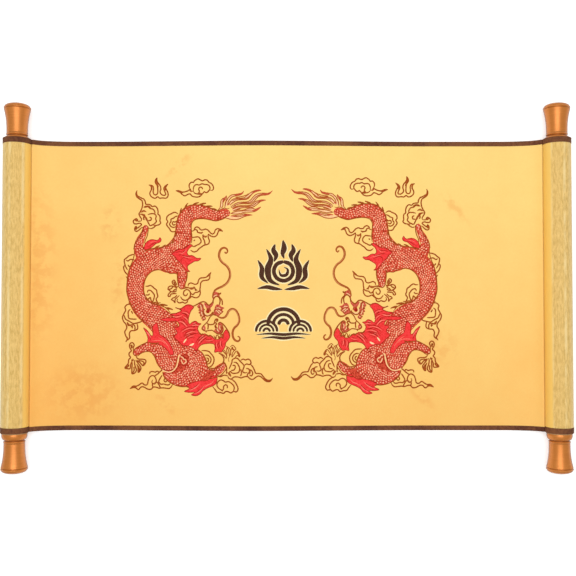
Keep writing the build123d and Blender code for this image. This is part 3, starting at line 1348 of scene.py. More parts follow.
FACE_FILLS = shapes("""
74.8,-13 75,-10 73.8,-7.5 72,-6.4 69.5,-7.4 68,-9.5 67.6,-11.3 70,-11.2 72.4,-12.2 73.8,-14;
83.2,-18.3 81,-18.2 79.3,-20 77,-20 75,-18 74,-17.6 74.3,-20 76.2,-22.3 77,-25 77.6,-27.2 79.3,-28
  80.8,-26.8 80.4,-24.5 81.5,-22;
72.7,-24 72,-21 70,-19.2 67.3,-20 65.8,-21.6 62.8,-22.7 64.8,-24.6 64.2,-26.8 66.5,-29.2 68.5,-31 71,-30
  74.6,-29.2 73,-27;
88.5,-19.2 86,-17.8 84.6,-19.8 84,-24 83.4,-28 82.6,-31 81,-33.5 83,-35.3 85.6,-34 84.8,-31.5 87,-31.5
  87.2,-29 88.8,-27.5 87.4,-25.5 88.8,-24 88,-22.3 90.2,-21.8;
71.6,-43.5 70,-44 69,-41.5 69.4,-38.5 66.2,-37.6 64.4,-40.5 64.3,-44.5 65.7,-47.4 68.3,-48.6 71,-47.6
  73,-45.5;
85,-42.8 84,-40.4 82.2,-41 81.5,-43.5 82.5,-45.3 84.3,-44.8
""")
FACE_LINES = Stroke.read("""
1.3: 95,-21.5 92,-20.2 89,-18.6 86,-17 83.5,-16.6 81.3,-17.5 79.8,-19.3 78,-20 76,-18.6 74.6,-16.6
1.3: 74,-18.5 74.2,-16 73.4,-13.4 71.8,-11.6 70,-11.2 68.2,-12.5 67.2,-15 67.3,-17.5 68,-20
1.3: 68.6,-10.8 67.6,-12.3 66,-14 65,-16.3 64.9,-20
1.6: 69.3,-7.6 67.8,-9 66.3,-7.6
1.1: 72.7,-29 75,-30 77.2,-32 78.6,-34.6 80,-37 82.5,-39.4 84.5,-41.6 85.2,-43.6 83.6,-45.2 81,-45.8
  77.5,-45.2 75,-45.2 72.5,-46.8 70,-48.4 67.5,-48.8 65.2,-47.6 63.9,-45 64,-42
1.3: 79.6,-37.6 78.8,-39.2 75,-39.4 73,-38.2 72.4,-36 71.6,-34.2 69.6,-33.4
1.3: 79.2,-39 79,-41.5 79.4,-44.4
1.3: 73,-38.5 71.6,-37.6 70.6,-38.8 72.2,-41 71.2,-43 70.6,-45.5
1.3: 71,-36 70.2,-34.2 69.2,-34.6 70.6,-37
1.3: 69,-38.2 67,-37.2 64.6,-38.6 62,-41.4 59.8,-44.6 58,-48 57.3,-51.4
0.8: 72.6,-51.5 71.8,-52.8 71,-51.6 70.8,-53.4
0.8: 68.2,-50.8 67.6,-52.6 67,-51.4 66.8,-53.2
0.8: 65.4,-50.6 64.4,-48.6 63.4,-50
1.3: 74.4,-26.5 75.4,-28.6 77.6,-30.2 80.5,-30.8 82.6,-29.2 83.2,-26.6 82.6,-24
0.9: 84.4,-19 84.2,-22 83.4,-24.6 83.6,-28 82.4,-31.4
1.2: 81.5,-46.4 80.6,-47.2
1: 89.6,-22.4 87.8,-22.4 86.2,-21.2
1: 88.9,-25.3 87,-24.8 85,-23.4
1: 88.6,-28 86.4,-27.2 84.6,-26
1: 87.4,-30.4 85.4,-29.8 83.8,-28.4
1: 86.4,-33 84.6,-32.4 83,-31
1: 84.8,-35.4 83.2,-34.6 82.2,-33.2
0.9: 86.6,-18 85.6,-19.8 85.8,-21.6
0.9: 71.7,-24.8 70.4,-22.8 68.9,-20.8
0.9: 70.8,-27 68.8,-24.6 66.4,-22.2
0.9: 69.6,-28.8 67.4,-26.2 64.8,-23.8
0.9: 67.6,-29.6 65.8,-27.8 63.9,-26.1
0.9: 72.9,-24.4 73.2,-27 74.6,-29.2 71.4,-30.2 68.6,-31
0.9: 72,-40.4 69.9,-43.3 70.7,-46.6
0.9: 68.9,-38.5 66.5,-40.4 65.8,-44.7 67.8,-47.4
0.9: 65.2,-39.2 64,-43.1 65,-46.6
0.9: 73.3,-50.2 71.7,-53.8 70.7,-50.2 69.2,-50.2 67.9,-53.8 66.5,-49.8 65.6,-49 64.6,-53 63,-49
0.9: 88.6,-47.2 86.4,-49.4 84.4,-48.6 82.6,-50.4 80.4,-49.4 78.6,-51.4 76.4,-50.4 74.4,-52.6
0.9: 80.6,-24.4 79,-23.4 77,-24.4 76.6,-26.6
""")
FACE_LIGHTS = Stroke.read("""
1: 82.2,-24.6 82.5,-27 81.3,-29.2 79.2,-29.6 77.2,-28.8
1: 84,-18.6 83,-20.4 82.4,-22.6
0.9: 86.8,-19.6 86.2,-22 85.8,-25
0.9: 86,-26.5 85.3,-29 84.4,-30.6
0.9: 84,-32.6 82.6,-33.6
0.8: 71,-23 69,-22.6 66.8,-23.6
0.8: 71.4,-25.2 69.6,-26.4 67.6,-28.4
0.8: 69.4,-24.8 67.4,-25.8 65.8,-27.4
0.8: 73.6,-12 72.2,-10.4 70,-9.8
0.8: 70.2,-43 69.6,-45 68.2,-46.4
0.7: 66.8,-40 67.6,-42.4 66.6,-44.6
0.8: 84,-42.4 83.2,-43.8
""")
EYE = places("""
81.3,-26 80.4,-24.4 78.8,-24.2 77.6,-25.6 78,-27.4 79.6,-28.2 81,-27.4
""")
MANE_LIGHTS = Blade.read("""
1.1: 105,-30.4 109,-31.6 112.4,-31.8 115,-30.8
1.2: 100,-42 103,-38.5 106,-36.6 109.5,-36.8
0.7: 98,-30 101.5,-27.5 105.5,-27
0.7: 92,-43.5 97,-43 102,-44.4 106,-47.4
0.8: 90,-47 95,-46.6 99.6,-48.2 103.6,-51.6
0.6: 97,-49.4 100.4,-50.4 103,-53
0.9: 80.6,-50.8 84,-53 87,-56 89,-59
0.8: 82.5,-49.8 85.4,-51.6 88,-54
1: 87.4,-41 91.6,-39.8 95.4,-40.6
1: 91.5,-37.8 94.4,-38.4
0.6: 93,-50.4 97.4,-51.4 100,-53
0.6: 70,-56 70.6,-60 69.6,-64
0.6: 66.4,-55 66.8,-59 65.8,-62.6
0.6: 74,-54.6 78,-55.6 82,-55.4
0.7: 99,-36 101.4,-33 104.4,-31.4
""")
MANE_GAPS = Blade.read("""
1.5: 100.6,-53.4 102.2,-55.6 103.8,-57.8
1.9: 93.2,-58 95,-59.4 98,-60.4
""")
FLAME_LIGHTS = Blade.read("""
0.5: 140.6,40.4 137.4,42.8 133.6,43.8 130.6,44
0.6: 109.6,32.4 105.6,31.8 102.8,33.8 100.4,37
0.6: 105.4,29.4 101.4,28.2 97.6,27.4 93.6,26.2
0.5: 105,21.6 102.6,18.6 101,16
1: 141.6,-46.4 138.4,-49.6 136.6,-53.4
0.7: 137,-56 131,-55.4 125.4,-56 121,-60
0.7: 129.4,-52 124.6,-55 119.4,-60.6 117.4,-66
1: 98.6,-105.2 94.4,-103.8 90,-101 87,-97.8
0.9: 92.8,-108.6 88.6,-106.6 85,-103.4 82.4,-99.6
0.8: 83.6,-102 79.6,-99.8 75.6,-98 73,-94.6
""")
FLAME_DARKS = Blade.read("""
0.8: 99,-33 102,-29 107,-27.6
0.8: 91,-42 95.6,-41.4 100.6,-42.4 104,-45
0.8: 88.6,-48.6 94,-48.6 99.4,-50.8 102.6,-54.4
0.9: 79.6,-52 83.6,-54.6 86.6,-58
0.8: 84.4,-50.6 88.4,-53 91.4,-57.4
0.8: 98,-40.4 101.6,-38.4 104.6,-34.6 109,-33.6
0.8: 90.4,-44.6 93.6,-44.8 96.4,-45.8
0.8: 139.4,-48 137.6,-52 136.6,-56
0.9: 97.4,-104.2 93,-102.4 89,-99
0.8: 91.4,-107.2 87.4,-104.8 84,-101
0.7: 113,32 108.6,33.6 104.4,33.4 101.6,35.6
0.7: 111,29.4 106.6,30.4 101,28.6 96.4,28.8
0.7: 104.4,20.4 106.6,24 104.6,27.4 100.4,26.6 96.4,24.4
0.6: 142,38.4 138.6,39.4 134.4,42 130,44.2
""")
OUTLINES = Stroke.read("""
1.0: 58,77.2 60,76.6 64,77 69,74.8 73,75.4 78,77.8 84,79.8 91,80.6 98,80 103,77.4 107,73 109.6,69 110.8,62
  111.6,55 113,49 115.6,43.6 119.6,40.4 126,38.2 134,37 140,35.6 145,33.6
1.0: 60.4,70 62.4,67.4 66.4,65.6 71.6,64.4 77,65.4 82,66.4 88,66.6 93.4,65.2 96.2,61 96.2,55 95.6,48 96,42
1.0: 154,37 153.8,31 155.6,24 158.4,17 160.2,10 161,2 161.2,-6 159.6,-13 156.6,-20 152,-27.6 147,-33.6
  140.6,-38.6 136,-43 134.2,-47
1.0: 109.6,10.4 113,11.8 117.6,11.8 121,13.8 126,15.2 131.6,15.4 136.4,13.4 140.6,9.4 143,4.4 144,-1
  143.8,-7 141.6,-12.8 137.4,-17.4 131.6,-19.4 126,-20.6 120.8,-23.4 117,-28
1.0: 135.4,-68 132.8,-71.4 130.8,-76 128.4,-80.6 125,-84.8
1.0: 124.6,-86.6 123,-91.6 118.4,-96.4 112,-99.8 105,-101.4 98,-101
1.0: 86.4,-66 83.4,-70 80.6,-76 79.6,-81 76.6,-84.6 71.4,-85
1.0: 154.4,36 153.2,41 150.6,45.6 147.6,50 145.8,55 144.6,59
1.0: 139.8,59 140,54 140.8,49.6 142.6,45.4 143.4,41.8
1.0: 110,14 110.2,8 109.6,3 108.8,-1 106.4,-3.8 103.6,-3
1.0: 100.4,15 100.2,10 101,5 102.2,1.4 102.4,-1.6 99.6,-2.2
1.0: 139.8,-57 144.4,-59 149.4,-61.8 153.2,-64.8 154.4,-67.8 153,-70.2 149.8,-70.8
1.0: 149.8,-70.8 146.4,-68.2 142.4,-66.6 138.4,-66.4 135,-68
1.0: 77,-93.4 71.6,-92 66.6,-90.2 63,-86.6 60.6,-82.6 61.4,-79 63.4,-76.6
1.0: 128,-57.6 133.6,-58.4 139,-57.4
""")
BELLY = Stroke.read("""
1.02: 125,-84.6 121.4,-86.4 117.4,-86.8 113.4,-84.8 110.4,-81 109.4,-76.4 108.4,-71.8 106.6,-69.6
1.02: 106.8,-71.4 104.6,-72.2 103.4,-74 101.6,-74.6 101,-76.6 103,-78.6
0.96: 106,-74.4 105,-77.4 103.4,-79
""")
BELLY_EDGES = Stroke.read("""
0.8: 125,-83.4 121,-85.2 117.4,-85.6 114.2,-83.9 111.6,-80.6 110.6,-76 109.4,-71
0.8: 123,-87.6 117.4,-88.2 112.8,-86 109.4,-82 107.9,-76.8 107.2,-72.6 106,-70.8
0.8: 107.4,-76.4 106,-79.4 103,-80.4 100.4,-79 99.4,-75.6 101,-72.8 104,-71
0.9: 104.6,-73.4 102.8,-73 103.6,-71.4
""")
FEET = Stroke.read("""
1.3: 147,64.6 150.4,64.6 151.6,67 153.6,66.2 155,64.4 154,62 151.4,61.8 148.4,62.4 146.6,61 148.4,59.2
  151.2,57.4 152,59.4 153.4,57.6 153.2,55 151.4,54.2 149,55.6 147,57.6 145,58.4
1.6: 153.2,66 151.6,64.8 150.6,66.6
1.6: 152.6,58.6 152.4,56.6 151.2,56.6
1.3: 109.6,-1 111.4,-2.6 112.6,-0.4 114.8,1.4 115.2,3.8 113.4,5 112,3 110.8,0
1.3: 113.8,3.6 112.4,0.4 110.4,-3.2
1.3: 112.4,-2 116,-0.8 118.8,-1.8 119.4,-4.4 116.6,-3.6 114.4,-1.6
1.3: 119.2,-4.4 116.4,-6.4 113,-6.6 110.6,-5.4
1.3: 114.6,-6 112.6,-4.4 110.4,-4
1.3: 116.4,-6.6 118.6,-8.4 119.4,-10.8 117.6,-11.2 116.4,-9 113.4,-8.4 110.8,-8.4
1.2: 110.4,-9.8 112.6,-12.2 114.8,-13 116,-14.6 114.2,-15.4 112.4,-17.6 112.4,-14.8 110.6,-12.6 108,-10.2
1.3: 154.2,-66 154.2,-62.4 153.4,-60 154.8,-57.8 157,-58 158.2,-60.4 157.6,-63 156.2,-65.6 158.4,-68
  158.4,-70.4 157,-72.4 158.8,-74.6 159.4,-78.4 162.6,-82.8 160,-83.6 157.4,-83.4 157,-79.6 155.6,-76
1.8: 157,-61.2 156,-60.2 155.8,-63.4
1.5: 162.2,-82.8 159.6,-81.4 158.8,-79.4
1.3: 155.8,-75.4 155.4,-79 155.6,-84 155.4,-88.6 152.4,-87.6 151,-84.8 152.4,-81 153,-77 152.4,-74.6
1.3: 155.2,-88 153.4,-85.4 153.6,-81.6
1.3: 150.8,-79 149.4,-82.4 149.2,-87.2 147.2,-85.4 146.6,-82.2 148.8,-79 151.4,-75.4
1.2: 149,-86.6 147.9,-84 149.2,-80.8
1.3: 151.2,-75 147.4,-77.6 144.4,-80.6 142,-78 141.6,-75.4 144,-74.2 149.4,-73.8 151.6,-70.8
1.2: 144.4,-80.2 143.4,-77.6 145.6,-76 149.4,-75.6
1.2: 156.4,-74.6 154.4,-75.6 154.8,-73.6
0.9: 68.6,-67.4 65.4,-68.8 63,-70.4 61,-73 60.4,-70.4 63.4,-66.6 65,-64.4
0.9: 63,-64.6 61.4,-67 60,-70
0.9: 61.2,-60.4 59.6,-62.6 58.2,-66.4 57.6,-70.6 56.4,-67.4 57.4,-63.4 59.6,-61.4
0.9: 59.8,-62.4 60.6,-64.8 59.4,-68.6
0.9: 56.8,-61.6 54.6,-60 52.6,-61.6 51.2,-63.8 53.6,-66 55,-69.4 55.2,-72
1.6: 55,-61.6 54.4,-63.8 52.6,-64.6
0.9: 55.6,-63 56.4,-66.4 56.2,-70
0.9: 55,-72 53.4,-69.4 51.6,-66.6 50,-65.8 48.4,-67.6 47.2,-69.8 47.6,-71.6 49.4,-70.2 50.8,-70.8
  52.4,-73.2
1.5: 50,-66.6 48.6,-69 47.4,-70.8
1.3: 63.4,-76.4 62.2,-78.6 60.6,-81.4 60.4,-85 60.6,-88.6
0.6: 57.4,-71 58.6,-73.6 58,-76.6
""")
TONGUES = Stroke.read("""
0.95: 69.6,75.2 67.4,77.6 66.8,81.6 66.4,84.6 64.6,86.8 62.6,87.6 61,89.8
0.95: 61,89.8 61,87.6 62.6,85.4 64.4,82.8 64.6,79.6 66,77.2
0.95: 62.6,77.6 62.2,81.4 61.2,84.8 58.8,88 55.8,90.4 52,91 48.6,91.6 45.4,92.4 43.8,94.4
0.95: 43.8,94.4 45.4,91.4 49.4,89.8 53.4,89.2 56.6,87.4 58.8,84.4 60,80.6
0.95: 59.6,79.8 57.6,83 54.6,86 50.6,87.2 46.4,87.2 42.6,88 39.6,90.4 36.6,92.8 32.6,94.6 29,95.4 26,95
0.95: 26,95 30.4,94 34,92.4 36.6,89.8 38.8,87.2 41.4,85.8 46,85.6 50.4,85 54.4,82.8 57.4,80
0.95: 56.6,78.4 53.4,80.8 49.6,82.6 45,83.2 40.6,83.4 37,85 34.4,88 31.6,90.6 28,91.8 23.6,92.2 19.8,92
  17,93 14.8,94.8
0.95: 14.8,94.8 17.4,92 20.8,90.4 25,90 28.8,88.8 31.4,86.4 33.6,83.8 37,81.8 41.4,81.6 46,81.6 50.4,80.8
  54.4,78.4 56.6,77.4
0.95: 55.2,76.6 51.6,78.6 47,79.6 42,79.6 37.4,80 34.4,81.6 31.8,83.8 28.8,84.6 25.4,85.4 21.4,85.2
0.95: 21.4,85.2 25.8,84.2 28.6,82.4 31.4,80 35,78 40,77.8 45.4,77.4 50,76.2 54.6,74
0.95: 56.8,71.8 52.6,73.4 48,74.6 43.4,75.4 39,76.8 35,77 31.8,76 29.4,77 26.4,78.4
0.95: 26.4,78.4 29.2,75.8 32.6,73.8 37.4,73.2 42.4,73 47.4,71.6 52.4,71.2 56.8,71.8
0.95: 56.6,69 52,69.8 47.4,70.2 43,71.4 39.4,70.8 35,70.2
0.95: 35,70.2 39.8,69.6 44,68.2 48.6,66.2 54,65.6 58.6,66.4 62.6,67.6
0.95: 52,88 47,88.6 42,89.8 38.4,91.6
0.95: 55,84.6 50.6,86.2 46,86.4 41.6,86.8 38.6,88.6 35,91.6
0.95: 53.6,79.6 48.8,81.2 44,82.4 39.8,82.4 36,83.6 33,87 29.6,89.6 25,91
0.95: 53,77.4 48.4,78.4 43.4,78.8 38.4,78.8 34.2,80 31,82.4 27.4,84.2
0.95: 55,72.6 50,74 45,74.4 40,75 35.4,75.2
0.95: 53.6,68.8 48.4,68.6 43.6,69.8
0.95: 54.2,74.4 50.4,75.2 46.8,76.4
0.95: 62.4,79.4 61.6,83 59.8,86.4
""")
TONGUE_TIPS = Blade.read("""
1.4: 65,83 63.6,86 61,89.6
1.7: 53,90.2 48,91 45,92.2 43.8,94.4
1.7: 36,91 33.4,93.2 30,94.8 26,95
2: 27.4,90.8 22.4,91.2 18.4,91.6 14.8,94.8
1.6: 29.4,83.2 26.4,84.6 21.4,85.2
2: 36,75 32,74.8 29.4,76.4 26.4,78.4
1.8: 46,69 41,70.4 35,70.2
1.4: 60,80 58.6,81.6 57.4,80.6
1.4: 57,69.2 54,69.4 50.6,69.2
1.3: 55,76 51.6,77.6 48.6,78.2
""")
WHISKERS = Stroke.read("""
2.3: 62.6,33.4 61.4,31.8 59.9,33.2 60.2,35.6 62.6,37.4 65.6,36.6 67.6,33.6 68.3,29.8 67.2,25.6 64.4,22.2
  61,19.6 58.4,16 57.2,11.6 57.8,6.6 60.4,2 64.4,-1 68.8,-3 72,-5 74,-8.4 74.6,-12.4
""", taper=0.25, tip=0.5)
WHISKERS += Stroke.read("""
2.2: 70.4,-30.4 68,-32 65,-32.8 62,-31.8 60,-29 58.4,-25.8 55.4,-23.9 52,-24.8 49.6,-28 48.2,-32 48.1,-36.4
  50,-40 53,-43 54.5,-47 54.2,-51.4 52.2,-54.8 49,-56 47.2,-54 48,-51.6 49.6,-51.2
""", taper=0.2, tip=0.5)
WHISKER_CORES = Stroke.read("""
0.7: 67.6,34 68,29.8 66.8,25.8 64,22.6 60.6,20 57.8,16 56.6,11.6 57.2,6.6 60,1.8 64,-1.4 68.6,-3.4
""", taper=0.3, tip=0.1)
WHISKER_CORES += Stroke.read("""
0.7: 62,-32.2 59.6,-29 58,-25.8 55.2,-24.4 52.2,-25.4 50.2,-28.2 48.8,-32 48.7,-36.4 50.6,-39.8 53.6,-43
""", taper=0.3, tip=0.1)
CLOUD_LINES = Stroke.read(
    # Over the back: a curled cloud with its tail to the left
    """
1.3: 112,95 108.6,94.8 105,93.6 101.4,94.2 98.4,95.6 96.6,96.4
1.3: 97.4,96 98.6,99.4 98,102 96,103.6 94.4,103.2 93,105 90,106.8 87.4,105.8 85.4,104.8 82.6,105.8
  80.2,105.2 78.6,103.2 76.2,102 74.4,99.4 74,97 75.2,95.2 77.4,95.4
1.3: 94.4,94.6 94.2,97.8 92.8,100.4 90.4,101 88.4,100.6 85.8,101.8 83.4,101.2 80.6,101 78.2,99.6 77.6,96.8
  79.2,94.2 81.4,92.8 83.2,93.8 84.6,92.4 87,91.4 90.4,91.6 93.2,92.6 94.4,94.6
1.3: 112,95 107.6,93.2 105.4,91 103,89.8 100,91.2 97.6,91.6 95.4,89.4 92,88.5 88.6,88.8 86,90.6 84.8,92.4
1.3: 89.8,91.6 88.2,94.2 89,96.6 87.6,98.4 85.6,98 85,96.2
    """
    # Upper left: a cloud with its tail up
    """
1.3: 151.2,95.6 152.4,92.4 151.6,89.2 149,87 146.4,85.2 145.6,82 146,78.6 147.4,75 149.2,71.8 148.2,69.2
  146.6,66.6 147,64.6
1.3: 150,90 147.2,88 144.6,86.8 143,84.4 142.4,81.6 139.8,81.4 137.4,80.6 136,79.2 133,79.6 130.8,77.4
  129.9,74 130,71.6 128.2,69.8 127.8,66.8 128,64.6 127.2,62.6 129,60.8 132,60 134,58.2 137,56.9 140,57.6
1.3: 144.6,78 142.6,79.4 140,79 138,77.2 135.2,76.6 133.4,74.4 133,72
1.3: 140.4,71 137.6,71.8 134,71.8 131.8,69.8 132.4,66.8 131.6,64 134.2,61.4 137.8,60 139.6,62.6 140.8,65.4
  141.8,68.4
1.3: 138.8,68.6 136.8,67.6 137.2,65.4 139.8,65
1.3: 146,71 143.6,70.8 144.6,67.6 143.8,65.4
    """
    # Top: a flame cloud of three points
    """
1.3: 139.4,101 137.2,99.6 136.8,96.4 138.2,93.2 137.8,90.4 135.4,88.2 132.6,87.6 130.4,89 128.4,87.6
  125.4,87.8 121.8,87.6 119.9,89.8 120,92.8 121.4,96 122.4,98.6 119.9,101.8
1.3: 139.4,101 135.8,100.2 134.6,97.4 135,94 134,91.4 131.8,91 130.4,93 130.4,97 131,100.6 132.8,103.4
  132.6,106 131,108.4
1.3: 131,108.4 131.2,105 129.6,102.4 127.8,100 127.2,96.8 128,94 127,91.8 124.6,90.4 122.2,91.2 123.2,94.2
  124.2,97 123,99.6 119.9,101.8
    """
    # Left of the back
    """
1.3: 109.6,71.4 111.4,72.8 113.8,73.2 116.4,71.8 118.8,70.8 120.8,68.8 121.2,66 120,63.8 121.3,61.4
  120,58.8 118.4,57 117.2,54.8 115,53.6 111.4,54.4
1.3: 110,69.6 112.4,68.8 114.4,67.2 116.8,66.4 116.8,64 118.2,61.6 117,59.2 114.4,58 112,58.8
1.3: 110.6,64.8 112.6,63.4 114.6,63.8 115.4,61.6 113.8,60.4 112.2,61.4
    """
    # Right of the back, with its tail to the right
    """
1.3: 96,54 93.6,55 92.6,57.4 90.4,58.4 88.2,57.2 87,55.6 84.6,55.4 82,56.2 79.4,55 77,52.4 74.8,51.2
  73,52.6 72.2,55 70,56.6 67,55.8 64.4,53.8
1.3: 64.4,53.8 67.8,54.8 69.4,52.8 70.6,50 73.4,48.4 76.8,49.4 79.4,51.4
1.3: 93,56 90.6,55.2 89.6,53 86.6,52.4 84.4,53.2
1.3: 79.4,51 79,47.4 78,44.4 78.8,41.6 81,40.6 83.4,40 86,38.2 88.4,36.6 90.6,34.2 94,33.4 97.2,35.4
1.3: 95.4,47.8 92.4,48.2 89.2,48.4 87,46.2 86.4,43.4 88,41.4 90.4,40.2 93.4,38.8 96.4,39.4
1.3: 84.4,51 84.4,47.4 83,44.4 82.4,40.6
1.3: 94,44.4 92.4,45.4
    """
    # Left of the loop, above
    """
1.3: 153.6,31 156.4,30.6 159.4,29.4 161.4,27.6 163.8,25.6 163.6,22.4 162.6,19 160.6,15.4
1.3: 163.8,20 164.6,17.6 163.2,13.6 160.4,10.6
1.3: 153.6,25.4 157.4,26 160.2,24.4 162,25.4
1.3: 160.2,20.6 158.6,18.6 156.8,20.4
    """
    # Inside the loop
    """
1.3: 142.4,-1 139.8,-1 137.4,-0.2 135.2,-1.4 133.4,-3.2 131.2,-4.8 130.6,-8 129.8,-11.2 131.4,-13.8
  130.4,-16.8 128.8,-19.2
1.3: 140.4,-7.4 139.6,-5.2 137,-5.4 134.6,-7.8 133.2,-10.4 133.8,-13.6 135,-17
1.3: 138,-8.4 139.4,-9.8 142,-9.6
1.3: 142.4,-12 141,-14.2 139,-13.6 137.4,-12.2 136.6,-15 134.8,-17.6
    """
    # Lower left, with its tail down
    """
1.3: 156.6,-19.4 160.6,-19.4 163,-22 162.2,-25 163.8,-28.4 165.4,-32 164.4,-36 162,-39 161,-42.6 163,-46.8
  162,-50.6 160.4,-54 162,-56.8
1.3: 157.4,-24.2 159.4,-26 159.6,-29.6 158.8,-33.2 155,-34 151,-34
1.3: 164,-29.6 162.2,-34 158.4,-36.2 154.6,-38.4 151.4,-38 149,-37.4 146.6,-36.6 145.6,-34.8
1.3: 156.6,-25.8 155,-28.6
1.3: 150.8,-38 150,-41 150.2,-43.8 153,-45.4 156.8,-45.8 158.4,-48.8 158,-52.6 160,-55.2
1.3: 160.6,-37 159.4,-40.4 156.4,-39.8 153.6,-40 152.6,-42.4 153,-45
1.2: 157,-42 155.2,-41 155.6,-43.4
    """
    # Right of the hind foot, with its tail up
    """
1.3: 99.6,-8 100.8,-10.2 102.8,-10.4 104,-8.2 103,-5.6 100.6,-4.4 98,-5.6 96.8,-8.4 97.4,-11.4 99.4,-14
  102.4,-15.2 105.2,-14 107,-11.4
1.3: 109.4,-13.6 110.4,-15.6 108.8,-17.6 106.6,-17.6 104.8,-17 102.4,-18 100.2,-17 99.6,-14.6 97.4,-12.8
  95.6,-11.4 93,-12.4 90,-12.4 87.8,-10.4 87,-7.4 87.4,-4.6 87,-1.4 86.6,2 84.8,4.2 82,4.8 79.2,5.2
  77.6,7.4 77.4,10 76.2,12.8
1.3: 76.2,12.8 79.2,9.8 81,8 84,7.4 87,7 88.8,5 89.6,2 92,0.8 94.2,1.4 96.6,2.2 98.8,1 99.4,-1.4
1.3: 96.6,-8 94.4,-9.4 92.4,-7.6 89.6,-7 87.4,-5.4
1.3: 93.6,-1.4 92.2,-3.6 91.8,-5.8
1.2: 91.8,-4 90,-5.6
1.3: 104.6,-3.4 101,-2.6 98,-2.6
    """
    # Bottom left, with its tail to the left
    """
1.3: 157.2,-103.4 154.4,-101 151,-101 148.4,-99.8 145.4,-97.9 142.6,-99.8 140,-99.2 139.2,-96 138,-92.6
  135.6,-90.6 133,-91 131.2,-94 131.2,-96.8 133,-98.8 135.4,-97.2 134.6,-94.6
1.3: 157.2,-103.4 152.4,-102.4 149,-104.4 146.4,-102 143.6,-101.8 139.4,-104 136.2,-104 134,-102 131,-102
  128,-103 125,-102.6 121,-103 118,-103.2 115.8,-101.4 114.4,-98.8
1.3: 137.6,-89 137,-86.8 134.2,-86.4 132,-87 129.6,-86 128.6,-87.8 131.4,-90 133,-91
1.3: 129,-88.2 126.6,-86 125,-84.8
1.3: 125,-90 127,-93 128.4,-96.4 126.4,-99 123.4,-98.8 120.6,-99.6 118,-99.4 116.8,-97.6
1.3: 121.8,-92.6 123.2,-95 121.8,-96.8 120,-95.2
1.3: 134.6,-97.6 134.8,-100.6 133.6,-102.4
1.3: 130,-97 128,-100 126.8,-102.6
    """
    # Right of the coil: rings and a great arc
    """
1.3: 85.6,-65.4 82,-65.4 78.4,-66.2 76,-68.6 74,-71 73,-74.4 73.8,-78 75.8,-80.8 79,-82
1.3: 82.4,-70 79.4,-70 77,-71.8 76,-74.8 77.4,-77.8 80.4,-79
1.3: 80.6,-72.6 78.8,-73.4 78.8,-75.8 81,-77
1.3: 68.4,-67.8 65.4,-69.6 63.4,-72.6 63.4,-76 65.4,-79.4 69,-82 73.4,-83.2 78,-82.6
    """
    # Far right of the claws, with its tail to the right
    """
1.3: 54.6,-80.2 52.6,-80 51.8,-82 53.2,-84.6 56,-85
1.3: 53.6,-76.8 50.6,-77.4 48.6,-80 47.4,-83.4 48.4,-86.8 51.4,-87.8 54.6,-87.8 57,-86 57.8,-88.4
1.3: 58,-83.6 56.4,-80 55.2,-77 54.8,-74.6 52,-72.8 49.2,-73.4 47.2,-75.8 44.8,-78 43,-80.6 44,-83.8
  44.4,-86 42.6,-87.4 39.8,-87
1.3: 46.6,-75.2 44,-73.8 41.6,-74.6 39,-73.8 36.6,-75.4 36.2,-78 38,-79.2 40.4,-78.6 42.6,-79.8
1.3: 36.6,-79 34.4,-81.4 32.6,-85 31.4,-87.8 29,-88 26,-88.6 24,-91 21.4,-93.8 18.4,-94.9 16,-94.2
  14.6,-92.6
1.3: 14.6,-92.6 17.2,-96 21,-95.8 24,-93.4 26.4,-91.2 29,-90.6 31.6,-92 34,-93.8 37,-93.4 39.4,-91.2
  43,-91.4 46,-92.4 49,-91.6 53,-91.6 55.4,-93.4 58,-93 59.4,-90.4
1.3: 41,-83 38.4,-83.6 37.4,-86 39.4,-88.6 40,-91.2
1.3: 38,-84 35.4,-85.4 34.4,-88 35.6,-90.4 37.6,-89.6
1.3: 46.4,-84 45.6,-87.6 46.6,-90.8
1.3: 59.4,-90.4 63,-89.8 66.4,-91.2 69.4,-90.4
    """
    # Bottom, under the claws
    """
1.3: 74.4,-101 72,-104 70,-106.6 66.6,-107 63.4,-107.8 61.4,-106 58.8,-106.2 56,-107.4 53.8,-106
  50.4,-106.2 49,-103.4 50,-100 52.2,-96.4 55,-94.2 57.6,-93.6
1.3: 65.4,-104.4 68.2,-103 70,-100 69.2,-96.6 66.4,-94.6 63.8,-95.2 61.6,-96.6 58.4,-96.2 55.2,-98.2
  53,-101 53,-104 54,-106
1.3: 65,-105.4 63.6,-103.6 63.4,-101 61.4,-99.3 59.6,-100.6 60,-102.8
    """
)
CLOUD_TIPS = Blade.read("""
1.9: 112.2,95 108.4,94.2 104.6,92.6
2: 151.2,95.8 151.9,91.6 149.6,88 146.8,86.4
2.1: 131.1,108.6 132.1,105 131,101.8 129.4,98.4
1.3: 139.6,101.2 136.8,99.6 136,95.8
2: 119.7,102 122.4,99 122.6,94.8
1.1: 64.4,53.8 67.4,55.4 70,54.8
1.5: 162.2,-57 160.4,-54.4 160.2,-51.6
1.7: 76,13 78.4,10 79.6,8
2.1: 157.6,-103.8 154.4,-102 150.6,-101.8
2: 14.5,-92.4 17,-95.2 21,-94.8 24.4,-92.4
1.8: 98.4,96.6 96.6,94.4 94.6,94.4
2.2: 148.8,71.6 145.4,71 142.6,68 141.4,64.6
2: 147.4,73.2 144.4,74.8 141.6,73.6
2: 143.4,78 140.4,79.4 137,78
1.4: 135,60.4 132.4,60 131,61
1.4: 90.4,92 88,92.6 86.4,91.6
1.1: 91,53 88,52.4 85.4,51.4
2: 84.2,49.8 82,48.4 80,49.6
2.4: 99,-2.6 96,-3.4 92.6,-2.4
1.3: 160,-37.4 158.6,-39.6 156.4,-41
1.5: 133,-97.8 131,-97 128.6,-97.8
1.5: 135.6,-18 132.6,-17.2 130,-18.4
2.4: 59.6,-87 57.6,-88.8 56,-91.4
1.8: 38.4,-84 37.2,-86.4 37.6,-89.2
1.5: 66.8,-104.4 65,-104.8 64,-106.2
""")
